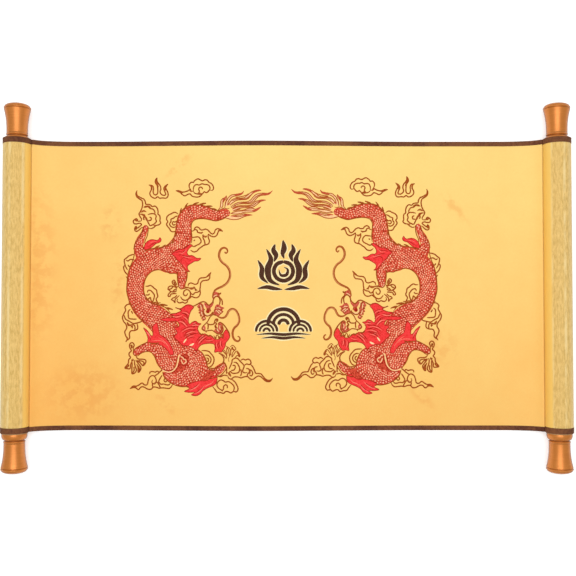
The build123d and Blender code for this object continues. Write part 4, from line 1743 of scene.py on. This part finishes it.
FINS = places("""
101.4,79.2,112,1.08 92.6,80.8,80,1.32 86,80.4,72,1.44 79.6,78.4,58,1.32 75,75.8,50,1.2 106.6,73.4,135,1.2
111.4,50.6,160,1.08 114.4,43.4,140,1.08 119,39.8,110,0.96 124.6,38,95,1.08 131.4,37.4,85,1.2 160,7,185,0.84
125.4,-20.6,52,1.56 119.4,-24,42,1.44 130,-18.8,70,0.96 157,-19,200,0.84
""")
MANE_TOP = Stroke.read("""
0.9: 117,-29 111,-28 106,-25.2 112,-22.4 107,-23.6 101,-20 97,-19.8 93.6,-21.6
""")

# One back fin, and the ornament's middle and left-hand flames, each from its own middle
FIN = places("2.2,-0.5 1,0.9 -0.6,1.9 -2.4,2.5 -2.9,2.2 -2.2,1.5 -1,0.7 -0.4,-0.5")
FLAME_CORE = Blade.read("""
3.2: 4.6,1.8 2.6,-4 -3,-3.6 -4.2,1.6 -0.4,4
5.6: -0.6,12.6 0.8,17.6 -0.6,23 0.4,31
""")
SIDE_FLAMES = Blade.read("""
6.4: 4,-14 13.4,-9 15.6,2 12.6,12 17,22
5.2: 9.4,9.4 7.4,15.6 10,21 8.4,27
5: 15.4,-12 21.6,-6 21.6,3 25.6,11
4.2: 1,-18.4 9,-17.4 17,-16 26,-17.6
""")


@dataclass
class SidePrint:
    """A print at one side of the sheet, in inks laid over one another."""

    form: SheetForm
    side: str
    subject: str = ""
    fine_step: float = 0.7

    def plate(self, part: str, tone: InkTone, thickness: float, base: float = 0.0) -> InkPlate:
        """Starts one ink.

        Args:
            part: what it prints.
            tone: the ink.
            thickness: how thick it lies.
            base: how high over the paper it starts.

        Returns:
            The empty plate.
        """
        name = f"{self.side}_{self.subject}"
        mirror = self.side == "right"
        return InkPlate(self.form, f"{name}_{part}", tone, f"{name}_print", mirror, base, thickness)


@dataclass
class DragonPrint(SidePrint):
    """One of the two facing dragons."""

    subject: str = "dragon"
    chance: random.Random = field(default_factory=lambda: random.Random(7))
    body_step: float = 1.6
    outline_step: float = 1.2
    whisker_step: float = 0.6
    eye_step: float = 0.5
    tongue_step: float = 0.9
    scale_row: float = 2.15
    scale_spacing: float = 2.4
    scale_stagger: float = 0.25
    scale_margin: float = 1.2
    scale_apart: float = 2.0
    scale_half_length: float = 0.88
    scale_half_width: float = 0.62
    scale_sides: int = 8
    scale_turn: tuple[float, float] = (0.2, 0.8)
    scale_size: tuple[float, float] = (0.72, 1.22)
    edge_half_width: float = 0.35
    hair_apart: float = 1.25
    hair_half_width: float = 0.3
    hair_tip: float = 0.15
    tongue_pairs: int = 7

    def __post_init__(self) -> None:
        """Rounds the outlines that several inks share."""
        self.mane = spline(MANE, closed=True, step=self.outline_step)
        self.flames = [spline(flame, closed=True, step=self.outline_step) for flame in FLAMES]
        self.coil = spline(COIL_EDGE, closed=True, step=self.outline_step)

    def scales(self, band: Sequence[Place], covers: Sequence[Sequence[Place]]) -> list[Place]:
        """Places the light scales of a band in staggered rows.

        Args:
            band: the band's places with half widths.
            covers: outlines that hide the scales.

        Returns:
            x, y, turn in degrees and size of each scale.
        """
        curve = spline(band, step=self.scale_row)
        found = []
        for i, ((x, y, half), (nx, ny)) in enumerate(zip(curve, normals(curve))):
            reach = half - self.scale_margin
            count = int(2 * reach / self.scale_spacing)
            stagger = self.scale_stagger if i % 2 else -self.scale_stagger
            for j in range(count + 1):
                across = (j - count / 2 + stagger) * self.scale_spacing
                place = (x + nx * across, y + ny * across)
                if abs(across) > reach or any(inside(place, cover) for cover in covers):
                    continue
                turn = math.atan2(ny, nx) - math.pi / 2 + self.chance.uniform(*self.scale_turn)
                found.append((*place, math.degrees(turn), self.chance.uniform(*self.scale_size)))
        return found

    def thinned(self, spots: Sequence[Place]) -> list[Place]:
        """Drops scales that would lie on others where two bands meet.

        Args:
            spots: the scales' places.

        Returns:
            The scales that are kept.
        """
        kept: list[Place] = []
        for spot in spots:
            if all(abs(spot[0] - k[0]) + abs(spot[1] - k[1]) > self.scale_apart for k in kept):
                kept.append(spot)
        return kept

    def comb(self, plate: InkPlate, hair: Stroke) -> None:
        """Draws a thin line on both sides of a hair.

        Args:
            plate: the ink that it is drawn in.
            hair: the hair.
        """
        curve = spline(hair.way)
        for side in (-self.hair_apart, self.hair_apart):
            beside = [(x + side * nx, y + side * ny) for (x, y), (nx, ny) in zip(curve, normals(curve))]
            swell = [math.sin(math.pi * i / (len(beside) - 1)) for i in range(len(beside))]
            widths = [self.hair_tip + (1 - self.hair_tip) * share for share in swell]
            plate.ribbon(beside, [self.hair_half_width * width for width in widths])

    def body(self) -> list[InkPlate]:
        """Draws the body and its scales.

        Returns:
            The red field and the light scales.
        """
        red = self.plate("field", InkTone.FIELD, 0.03)
        for band in (TRUNK, THIGH, *LIMBS):
            curve = spline(band, step=self.body_step)
            red.ribbon(curve, [point[2] for point in curve])
        red.fill(self.coil)
        light = self.plate("scales", InkTone.SCALE, 0.016, base=0.034)
        spots: list[Place] = []
        for band in (TRUNK, *LIMBS):
            spots += self.scales(band, [self.mane, *self.flames, self.coil])
        coiled = self.scales(COIL, [self.mane, *self.flames, HOOK])
        spots += [spot for spot in coiled if inside(spot, self.coil)]
        spots += self.scales(THIGH, [self.mane, *self.flames])
        turns = [360 * share for share in [0.0] + shares(self.scale_sides)[:-1]]
        oval = [(self.scale_half_length * cosine(a), self.scale_half_width * sine(a)) for a in turns]
        light.stamp(oval, self.thinned(spots))
        return [red, light]

    def red_areas(self) -> list[InkPlate]:
        """Draws the mane, the flames, the face and their darker edges and hairs.

        Returns:
            The bright red, the face's red and the dark red.
        """
        bright = self.plate("flames", InkTone.SOLID, 0.06)
        for outline in (self.mane, *self.flames):
            bright.fill(outline)
        face = self.plate("face_reds", InkTone.ROUGE, 0.06)
        for outline in FACE_FILLS:
            face.fill(spline(outline, closed=True, step=self.fine_step))
        dark = self.plate("shades", InkTone.CRIMSON, 0.012, base=0.058)
        dark.draw(FLAME_DARKS)
        for hair in MANE_LIGHTS:
            self.comb(dark, hair)
        dark.draw(MANE_TOP)
        for outline in (*self.flames, self.mane):
            dark.ribbon(outline + outline[:1], [self.edge_half_width] * (len(outline) + 1))
        dark.fill(spline(EYE, closed=True, step=self.eye_step))
        return [bright, face, dark]

    def tail(self) -> list[InkPlate]:
        """Draws the tail's plume.

        Returns:
            Its pale tongues, their outlines and their tips.
        """
        flesh = self.plate("tail_flesh", InkTone.FLESH, 0.02)
        paired = TONGUES[: 2 * self.tongue_pairs]
        for out, back in zip(paired[::2], paired[1::2]):
            flesh.fill(spline(out.way + back.way, closed=True, step=self.tongue_step))
        hairs = self.plate("tail_hairs", InkTone.HAIR, 0.06)
        hairs.draw(TONGUES, self.fine_step)
        tips = self.plate("tail_tips", InkTone.TIP, 0.085)
        tips.draw(TONGUE_TIPS, self.fine_step)
        return [flesh, hairs, tips]

    def lines(self) -> InkPlate:
        """Draws the outlines, feet, face and back fins.

        Returns:
            The brown lines.
        """
        brown = self.plate("lines", InkTone.LINE, 0.075)
        brown.draw(OUTLINES + FEET + FACE_LINES, self.fine_step)
        brown.stamp(FIN, [(x, y, angle - 90, size) for x, y, angle, size in FINS])
        return brown

    def highlights(self) -> list[InkPlate]:
        """Draws what is printed lightly over the reds.

        Returns:
            The pink hairs, the face's lights, the gaps in the mane and the belly's edges.
        """
        pink = self.plate("blushes", InkTone.BLUSH, 0.014, base=0.062)
        pink.draw(MANE_LIGHTS + FLAME_LIGHTS)
        glow = self.plate("face_lights", InkTone.FLESH, 0.03, base=0.062)
        glow.draw(FACE_LIGHTS + BELLY)
        pale = self.plate("lights", InkTone.PALE, 0.03, base=0.062)
        pale.draw(MANE_GAPS)
        edges = self.plate("belly_edges", InkTone.CRIMSON, 0.012, base=0.07)
        edges.draw(BELLY_EDGES)
        return [pink, glow, pale, edges]

    def whiskers(self) -> list[InkPlate]:
        """Draws the whiskers.

        Returns:
            The whiskers and the light line along each.
        """
        curls = self.plate("whiskers", InkTone.CURL, 0.085)
        curls.draw(WHISKERS, self.whisker_step)
        cores = self.plate("whisker_cores", InkTone.CORE, 0.01, base=0.082)
        cores.draw(WHISKER_CORES, self.whisker_step)
        return [curls, cores]

    def build(self) -> list[bpy.types.Object]:
        """Prints the dragon, ink by ink.

        Returns:
            The pieces.
        """
        plates = [*self.body(), *self.red_areas(), *self.tail(), self.lines()]
        plates += [*self.highlights(), *self.whiskers()]
        return [plate.print_on() for plate in plates]


@dataclass
class CloudPrint(SidePrint):
    """The clouds round one dragon, in outline with filled tips."""

    subject: str = "cloud"

    def build(self) -> list[bpy.types.Object]:
        """Prints the clouds.

        Returns:
            The pieces.
        """
        lines = self.plate("lines", InkTone.LINE, 0.07)
        lines.draw(CLOUD_LINES, self.fine_step)
        tips = self.plate("tips", InkTone.CURL, 0.066)
        tips.draw(CLOUD_TIPS, self.fine_step)
        return [lines.print_on(), tips.print_on()]


@dataclass
class Ornament:
    """The ornament in the middle: a flaming pearl over three fans of waves."""

    form: SheetForm
    pearl: tuple[float, float] = (-3.8, 14.0)
    pearl_radius: float = 9.6
    pearl_ring: float = 4.0
    halo: float = 2.4
    fans: tuple[Place, ...] = ((-3.8, -39.5, 15.5), (-20.6, -46.5, 10.6), (13.0, -46.5, 10.6))
    fan_arcs: tuple[tuple[float, float], ...] = ((1.0, 0.25), (0.655, 0.2), (0.3, 0.22))
    water_level: float = -49.4
    water_step: float = 3.6
    water_halves: tuple[float, ...] = (27.0, 22.0)
    water_width: float = 3.0
    arc_steps: int = 8

    def arc(self, centre: Place, radius: float, start: float, end: float, width: float) -> Stroke:
        """Draws an arc.

        Args:
            centre: its centre.
            radius: its radius.
            start: the angle in degrees where it starts.
            end: the angle in degrees where it ends.
            width: the line's width.

        Returns:
            The line.
        """
        angles = [start + (end - start) * share for share in [0.0] + shares(self.arc_steps)]
        way = tuple(
            (round(centre[0] + radius * cosine(a), 2), round(centre[1] + radius * sine(a), 2)) for a in angles
        )
        return Stroke(way, width, taper=0.08, tip=0.6)

    def flame(self, drawn: Stroke, side: int = 1) -> Stroke:
        """Moves a flame to the pearl, turned over for the right side with -1."""
        x, y = self.pearl
        return replace(drawn, way=tuple((x + side * px, y + py) for px, py in drawn.way))

    def water(self, level: float, half: float) -> Blade:
        """Draws a low wave under the fans.

        Args:
            level: its height on the sheet.
            half: its half length.

        Returns:
            The wave.
        """
        x = self.pearl[0]
        spots = ((x - half, 0), (x - half / 2, 1), (x, 0), (x + half / 2, 1), (x + half, 0))
        return Blade(tuple((px, level + rise) for px, rise in spots), self.water_width)

    def build(self) -> list[bpy.types.Object]:
        """Prints the ornament.

        Returns:
            The pieces.
        """
        strokes = [self.arc(self.pearl, self.pearl_radius, 90, 450, self.pearl_ring)]
        strokes += [self.flame(flame) for flame in FLAME_CORE]
        strokes += [self.flame(flame, side) for side in (1, -1) for flame in SIDE_FLAMES]
        for x, y, reach in self.fans:
            for share, width in self.fan_arcs:
                strokes.append(self.arc((x, y), reach * share, 0, 180, width * reach))
        for i, half in enumerate(self.water_halves):
            strokes.append(self.water(self.water_level - self.water_step * i, half))
        node = "centre_ornament_print"
        pale = InkPlate(self.form, "ornament_halo", InkTone.HALO, node, thickness=0.02)
        pale.draw([replace(stroke, width=stroke.width + self.halo) for stroke in strokes])
        dark = InkPlate(self.form, "ornament_ink", InkTone.DARK, node, thickness=0.075)
        dark.draw(strokes)
        return [pale.print_on(), dark.print_on()]


# Rollers


def turning_tree() -> bpy.types.NodeTree:
    """Builds or fetches the Geometry Nodes tree that turns a line with radii into a solid.

    Returns:
        The tree, with inputs for the line, the number of sides and the finish.
    """
    if "turning" in bpy.data.node_groups:
        return bpy.data.node_groups["turning"]
    tree = bpy.data.node_groups.new("turning", "GeometryNodeTree")
    for label, kind, side in (
        ("Line", "NodeSocketGeometry", "INPUT"), ("Sides", "NodeSocketInt", "INPUT"),
        ("Finish", "NodeSocketMaterial", "INPUT"), ("Solid", "NodeSocketGeometry", "OUTPUT"),
    ):
        tree.interface.new_socket(name=label, in_out=side, socket_type=kind)
    g = Graph(tree)
    given, sink = tree.nodes.new("NodeGroupInput").outputs, tree.nodes.new("NodeGroupOutput")
    radius = g.add("GeometryNodeInputNamedAttribute", {"data_type": "FLOAT"}, Name="turned_radius")
    line = g.add("GeometryNodeMeshToCurve", Mesh=given["Line"])
    ring = g.add("GeometryNodeCurvePrimitiveCircle", Resolution=given["Sides"], Radius=1.0)
    solid = g.add(
        "GeometryNodeCurveToMesh", Curve=line.outputs[0], Profile_Curve=ring.outputs[0],
        Scale=radius.outputs[0], Fill_Caps=True,
    )
    real = g.add("GeometryNodeRealizeInstances", i0=solid.outputs[0])
    dressed = g.add("GeometryNodeSetMaterial", Geometry=real.outputs[0], Material=given["Finish"])
    g.feed(sink, i0=dressed.outputs[0])
    return tree


@dataclass
class TurnedKnob:
    """A turned knob: a bead, a groove, a fine ring, a waist, a flare and a domed end.

    The outline's parts list the distance from the rod's end, the radius, and how much
    painted shade the lacquer gets at each point, from 0 to 1.
    """

    axis_x: float
    axis_z: float
    seat_y: float
    outward: int
    flare_radius: float
    length: float
    spigot_radius: float = 4.9
    spigot_length: float = 12.0
    seat_gap: float = 0.02
    bead_radius: float = 12.15
    bead_length: float = 6.0
    bead_start: float = 0.3
    bead_power: float = 0.5
    # Painted shade in the lacquer, from 0 to 1, is given below for the bead's end, the groove, the ring's
    # end, the groove under the rim and the rim's end.
    bead_shade: float = 0.25
    neck_radius: float = 10.0
    groove_width: float = 1.3
    groove_depth: float = 0.8
    groove_shade: float = 0.45
    ring_width: float = 1.4
    ring_height: float = 0.35
    ring_shade: float = 0.35
    flare_power: float = 2.6
    flare_step: float = 0.3
    rim_groove_start: float = 0.7
    rim_groove_width: float = 1.1
    rim_groove_depth: float = 0.5
    rim_groove_shade: float = 0.35
    rim_length: float = 1.9
    rim_start: float = 0.4
    rim_lean: float = 0.55
    rim_swell: float = 0.42
    rim_power: float = 0.7
    rim_shade: float = 0.45
    dome_height: float = 3.6
    dome_power: float = 0.9
    dome_tip: float = 0.15
    fine_steps: int = 8
    round_steps: int = 12
    waist_steps: int = 24
    dome_steps: int = 16
    sides: int = 96

    @property
    def waist_start(self) -> float:
        """Distance of the waist from the rod's end."""
        return self.bead_length + self.groove_width + self.ring_width

    @property
    def flare_end(self) -> float:
        """Distance of the flare's end from the rod's end."""
        return self.length - self.dome_height - self.rim_length

    @property
    def flare_top(self) -> float:
        """Radius of the flare's end, just under the rim's."""
        return self.flare_radius - self.flare_step

    def foot(self) -> list[Place]:
        """Outline of the spigot and the bead.

        Returns:
            The points.
        """
        points = [(-self.spigot_length, self.spigot_radius, 0.0), (-self.seat_gap, self.spigot_radius, 0.0)]
        for share in [0.0] + shares(self.round_steps):
            swell = math.sin(math.pi * (self.bead_start + (1 - self.bead_start) * share)) ** self.bead_power
            radius = self.neck_radius + (self.bead_radius - self.neck_radius) * swell
            points.append((self.bead_length * share, radius, self.bead_shade if share == 1 else 0.0))
        return points

    def neck(self) -> list[Place]:
        """Outline of the groove and the fine ring.

        Returns:
            The points.
        """
        points = []
        for share in shares(self.fine_steps):
            dip = math.sin(math.pi * share)
            along = self.bead_length + self.groove_width * share
            points.append((along, self.neck_radius - self.groove_depth * dip, self.groove_shade * dip))
        for share in shares(self.fine_steps):
            along = self.bead_length + self.groove_width + self.ring_width * share
            radius = self.neck_radius + self.ring_height * math.sin(math.pi * share)
            points.append((along, radius, self.ring_shade if share == 1 else 0.0))
        return points

    def waist(self) -> list[Place]:
        """Outline of the waist and its flare, up to the groove under the rim.

        Returns:
            The points.
        """
        run = self.flare_end - self.rim_groove_start - self.waist_start
        rise = self.flare_top - self.neck_radius
        points = []
        for share in shares(self.waist_steps):
            radius = self.neck_radius + rise * share ** self.flare_power
            points.append((self.waist_start + run * share, radius, 0.0))
        for share in shares(self.fine_steps):
            dip = math.sin(math.pi * share)
            along = self.flare_end - self.rim_groove_start + self.rim_groove_width * share
            points.append((along, self.flare_top - self.rim_groove_depth * dip, self.rim_groove_shade * dip))
        return points

    def head(self) -> list[Place]:
        """Outline of the rim and the dome.

        Returns:
            The points.
        """
        points = []
        for share in shares(self.round_steps):
            along = self.flare_end + self.rim_start + (self.rim_length - self.rim_start) * share
            swell = self.rim_swell * math.sin(math.pi * share) ** self.rim_power
            radius = self.flare_top - self.rim_lean * share + swell
            points.append((along, radius, self.rim_shade if share == 1 else 0.0))
        for share in shares(self.dome_steps):
            along = self.flare_end + self.rim_length + self.dome_height * math.sin(math.pi / 2 * share)
            radius = (self.flare_top - self.rim_lean) * math.cos(math.pi / 2 * share) ** self.dome_power
            points.append((along, max(radius, self.dome_tip), 0.0))
        return points

    def build(self, name: str) -> bpy.types.Object:
        """Turns the outline round the axis with Geometry Nodes.

        Args:
            name: the piece's name.

        Returns:
            The knob, standing for the frame's knobs.
        """
        outline = self.foot() + self.neck() + self.waist() + self.head()
        line = bpy.data.meshes.new(name + "_line")
        steps = [(i, i + 1) for i in range(len(outline) - 1)]
        line.from_pydata([(0.0, along * MM, 0.0) for along, _, _ in outline], steps, [])
        radii = [radius * MM for _, radius, _ in outline]
        line.attributes.new("turned_radius", "FLOAT", "POINT").data.foreach_set("value", radii)
        # How much painted shade each point gives the lacquer, kept on the mesh for its material.
        depths = [depth for _, _, depth in outline]
        line.attributes.new("recess", "FLOAT", "POINT").data.foreach_set("value", depths)
        lacquer = CopperLacquer()
        turned = baked(line, turning_tree(), Sides=self.sides, Finish=lacquer.material())
        bm = bmesh.new()
        bm.from_mesh(turned)
        bpy.data.meshes.remove(turned)
        seat = Vector((self.axis_x, self.seat_y, self.axis_z)) * MM
        for vert in bm.verts:
            x, along, z = vert.co
            vert.co = seat + Vector((x * self.outward, along * self.outward, z))
        bmesh.ops.remove_doubles(bm, verts=bm.verts[:], dist=1e-7)
        piece = as_piece(name, bm, lacquer, sharp=50.0)
        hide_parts("turned_knobs")
        return piece


@dataclass
class Rollers:
    """The two rods and their four knobs."""

    form: SheetForm

    def build(self) -> list[bpy.types.Object]:
        """Turns the knobs.

        Returns:
            The four knobs.
        """
        low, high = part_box("turned_knobs")
        rod_low, rod_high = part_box(RODS[0])
        knobs = []
        for side, axis in (("left", self.form.left_axis), ("right", self.form.right_axis)):
            for end, outward, seat, tip in (("top", 1, rod_high.y, high.y), ("bottom", -1, rod_low.y, low.y)):
                knob = TurnedKnob(
                    axis_x=axis, axis_z=self.form.roller_height, seat_y=seat / MM, outward=outward,
                    flare_radius=(high.z - low.z) / 2 / MM, length=abs(tip - seat) / MM,
                )
                knobs.append(knob.build(f"{side}_{end}_knob"))
        return knobs

    def dress(self) -> None:
        """Gives the frame's rods their wood."""
        for name in RODS:
            rod = bpy.data.objects[name]
            rod.data.materials.clear()
            rod.data.materials.append(RodWood().material())


# Studio


@dataclass
class Studio:
    """Floor, lights and camera."""

    floor_half: float = 4000.0
    floor_drop: float = 0.3
    camera_height: float = 780.0
    camera_setback: float = 20.8
    aim: tuple[float, float] = (1.0, -0.3)
    lens: float = 49.0
    softbox_size: float = 900.0
    softbox_place: tuple[float, float, float] = (0.0, 100.0, 1100.0)
    softbox_power: float = 8.2
    world_tone: float = 0.48

    def floor(self) -> None:
        """Lays the pale floor."""
        bm = bmesh.new()
        bmesh.ops.create_grid(bm, x_segments=1, y_segments=1, size=self.floor_half * MM)
        mesh = bpy.data.meshes.new("floor")
        bm.to_mesh(mesh)
        bm.free()
        mesh.materials.append(PaleGround().material())
        floor = bpy.data.objects.new("floor", mesh)
        floor.location.z = -self.floor_drop * MM
        bpy.context.scene.collection.objects.link(floor)

    def lights(self) -> None:
        """Hangs the softbox and lights the room, which is white to the camera."""
        lamp = bpy.data.lights.new("overhead_softbox", "AREA")
        lamp.shape = "SQUARE"
        lamp.size = self.softbox_size * MM
        lamp.energy = self.softbox_power
        softbox = bpy.data.objects.new("overhead_softbox", lamp)
        softbox.location = Vector(self.softbox_place) * MM
        bpy.context.scene.collection.objects.link(softbox)
        world = bpy.data.worlds.new("studio")
        world.use_nodes = True
        graph = Graph(world.node_tree)
        grey = (self.world_tone, self.world_tone, self.world_tone, 1.0)
        seen = graph.add("ShaderNodeLightPath").outputs["Is Camera Ray"]
        graph.feed(world.node_tree.nodes["Background"], Color=graph.mix(seen, grey, WHITE))
        bpy.context.scene.world = world

    def camera(self) -> None:
        """Sets up the camera, straight above and looking a little up the sheet."""
        lens = bpy.data.cameras.new("camera")
        lens.lens = self.lens
        lens.sensor_width = 36.0
        lens.clip_start, lens.clip_end = 0.01, 20.0
        camera = bpy.data.objects.new("camera", lens)
        bpy.context.scene.collection.objects.link(camera)
        target = Vector((*self.aim, 0.0)) * MM
        camera.location = target + Vector((0.0, -self.camera_setback, self.camera_height)) * MM
        camera.rotation_euler = (target - camera.location).to_track_quat("-Z", "Y").to_euler()
        bpy.context.scene.camera = camera

    def build(self) -> None:
        """Sets up the stage."""
        bpy.context.scene.view_settings.view_transform = "Standard"
        self.floor()
        self.lights()
        self.camera()


def main() -> None:
    """Builds the scroll's pieces in order."""
    logging.basicConfig(level=logging.INFO, format="%(name)s %(message)s")
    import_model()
    form = SheetForm.from_frame()
    Sheet(form).build()
    for side in ("left", "right"):
        DragonPrint(form, side).build()
        CloudPrint(form, side).build()
    Ornament(form).build()
    rollers = Rollers(form)
    rollers.build()
    rollers.dress()
    Studio().build()
    bpy.context.view_layer.update()


if __name__ == "__main__":
    main()
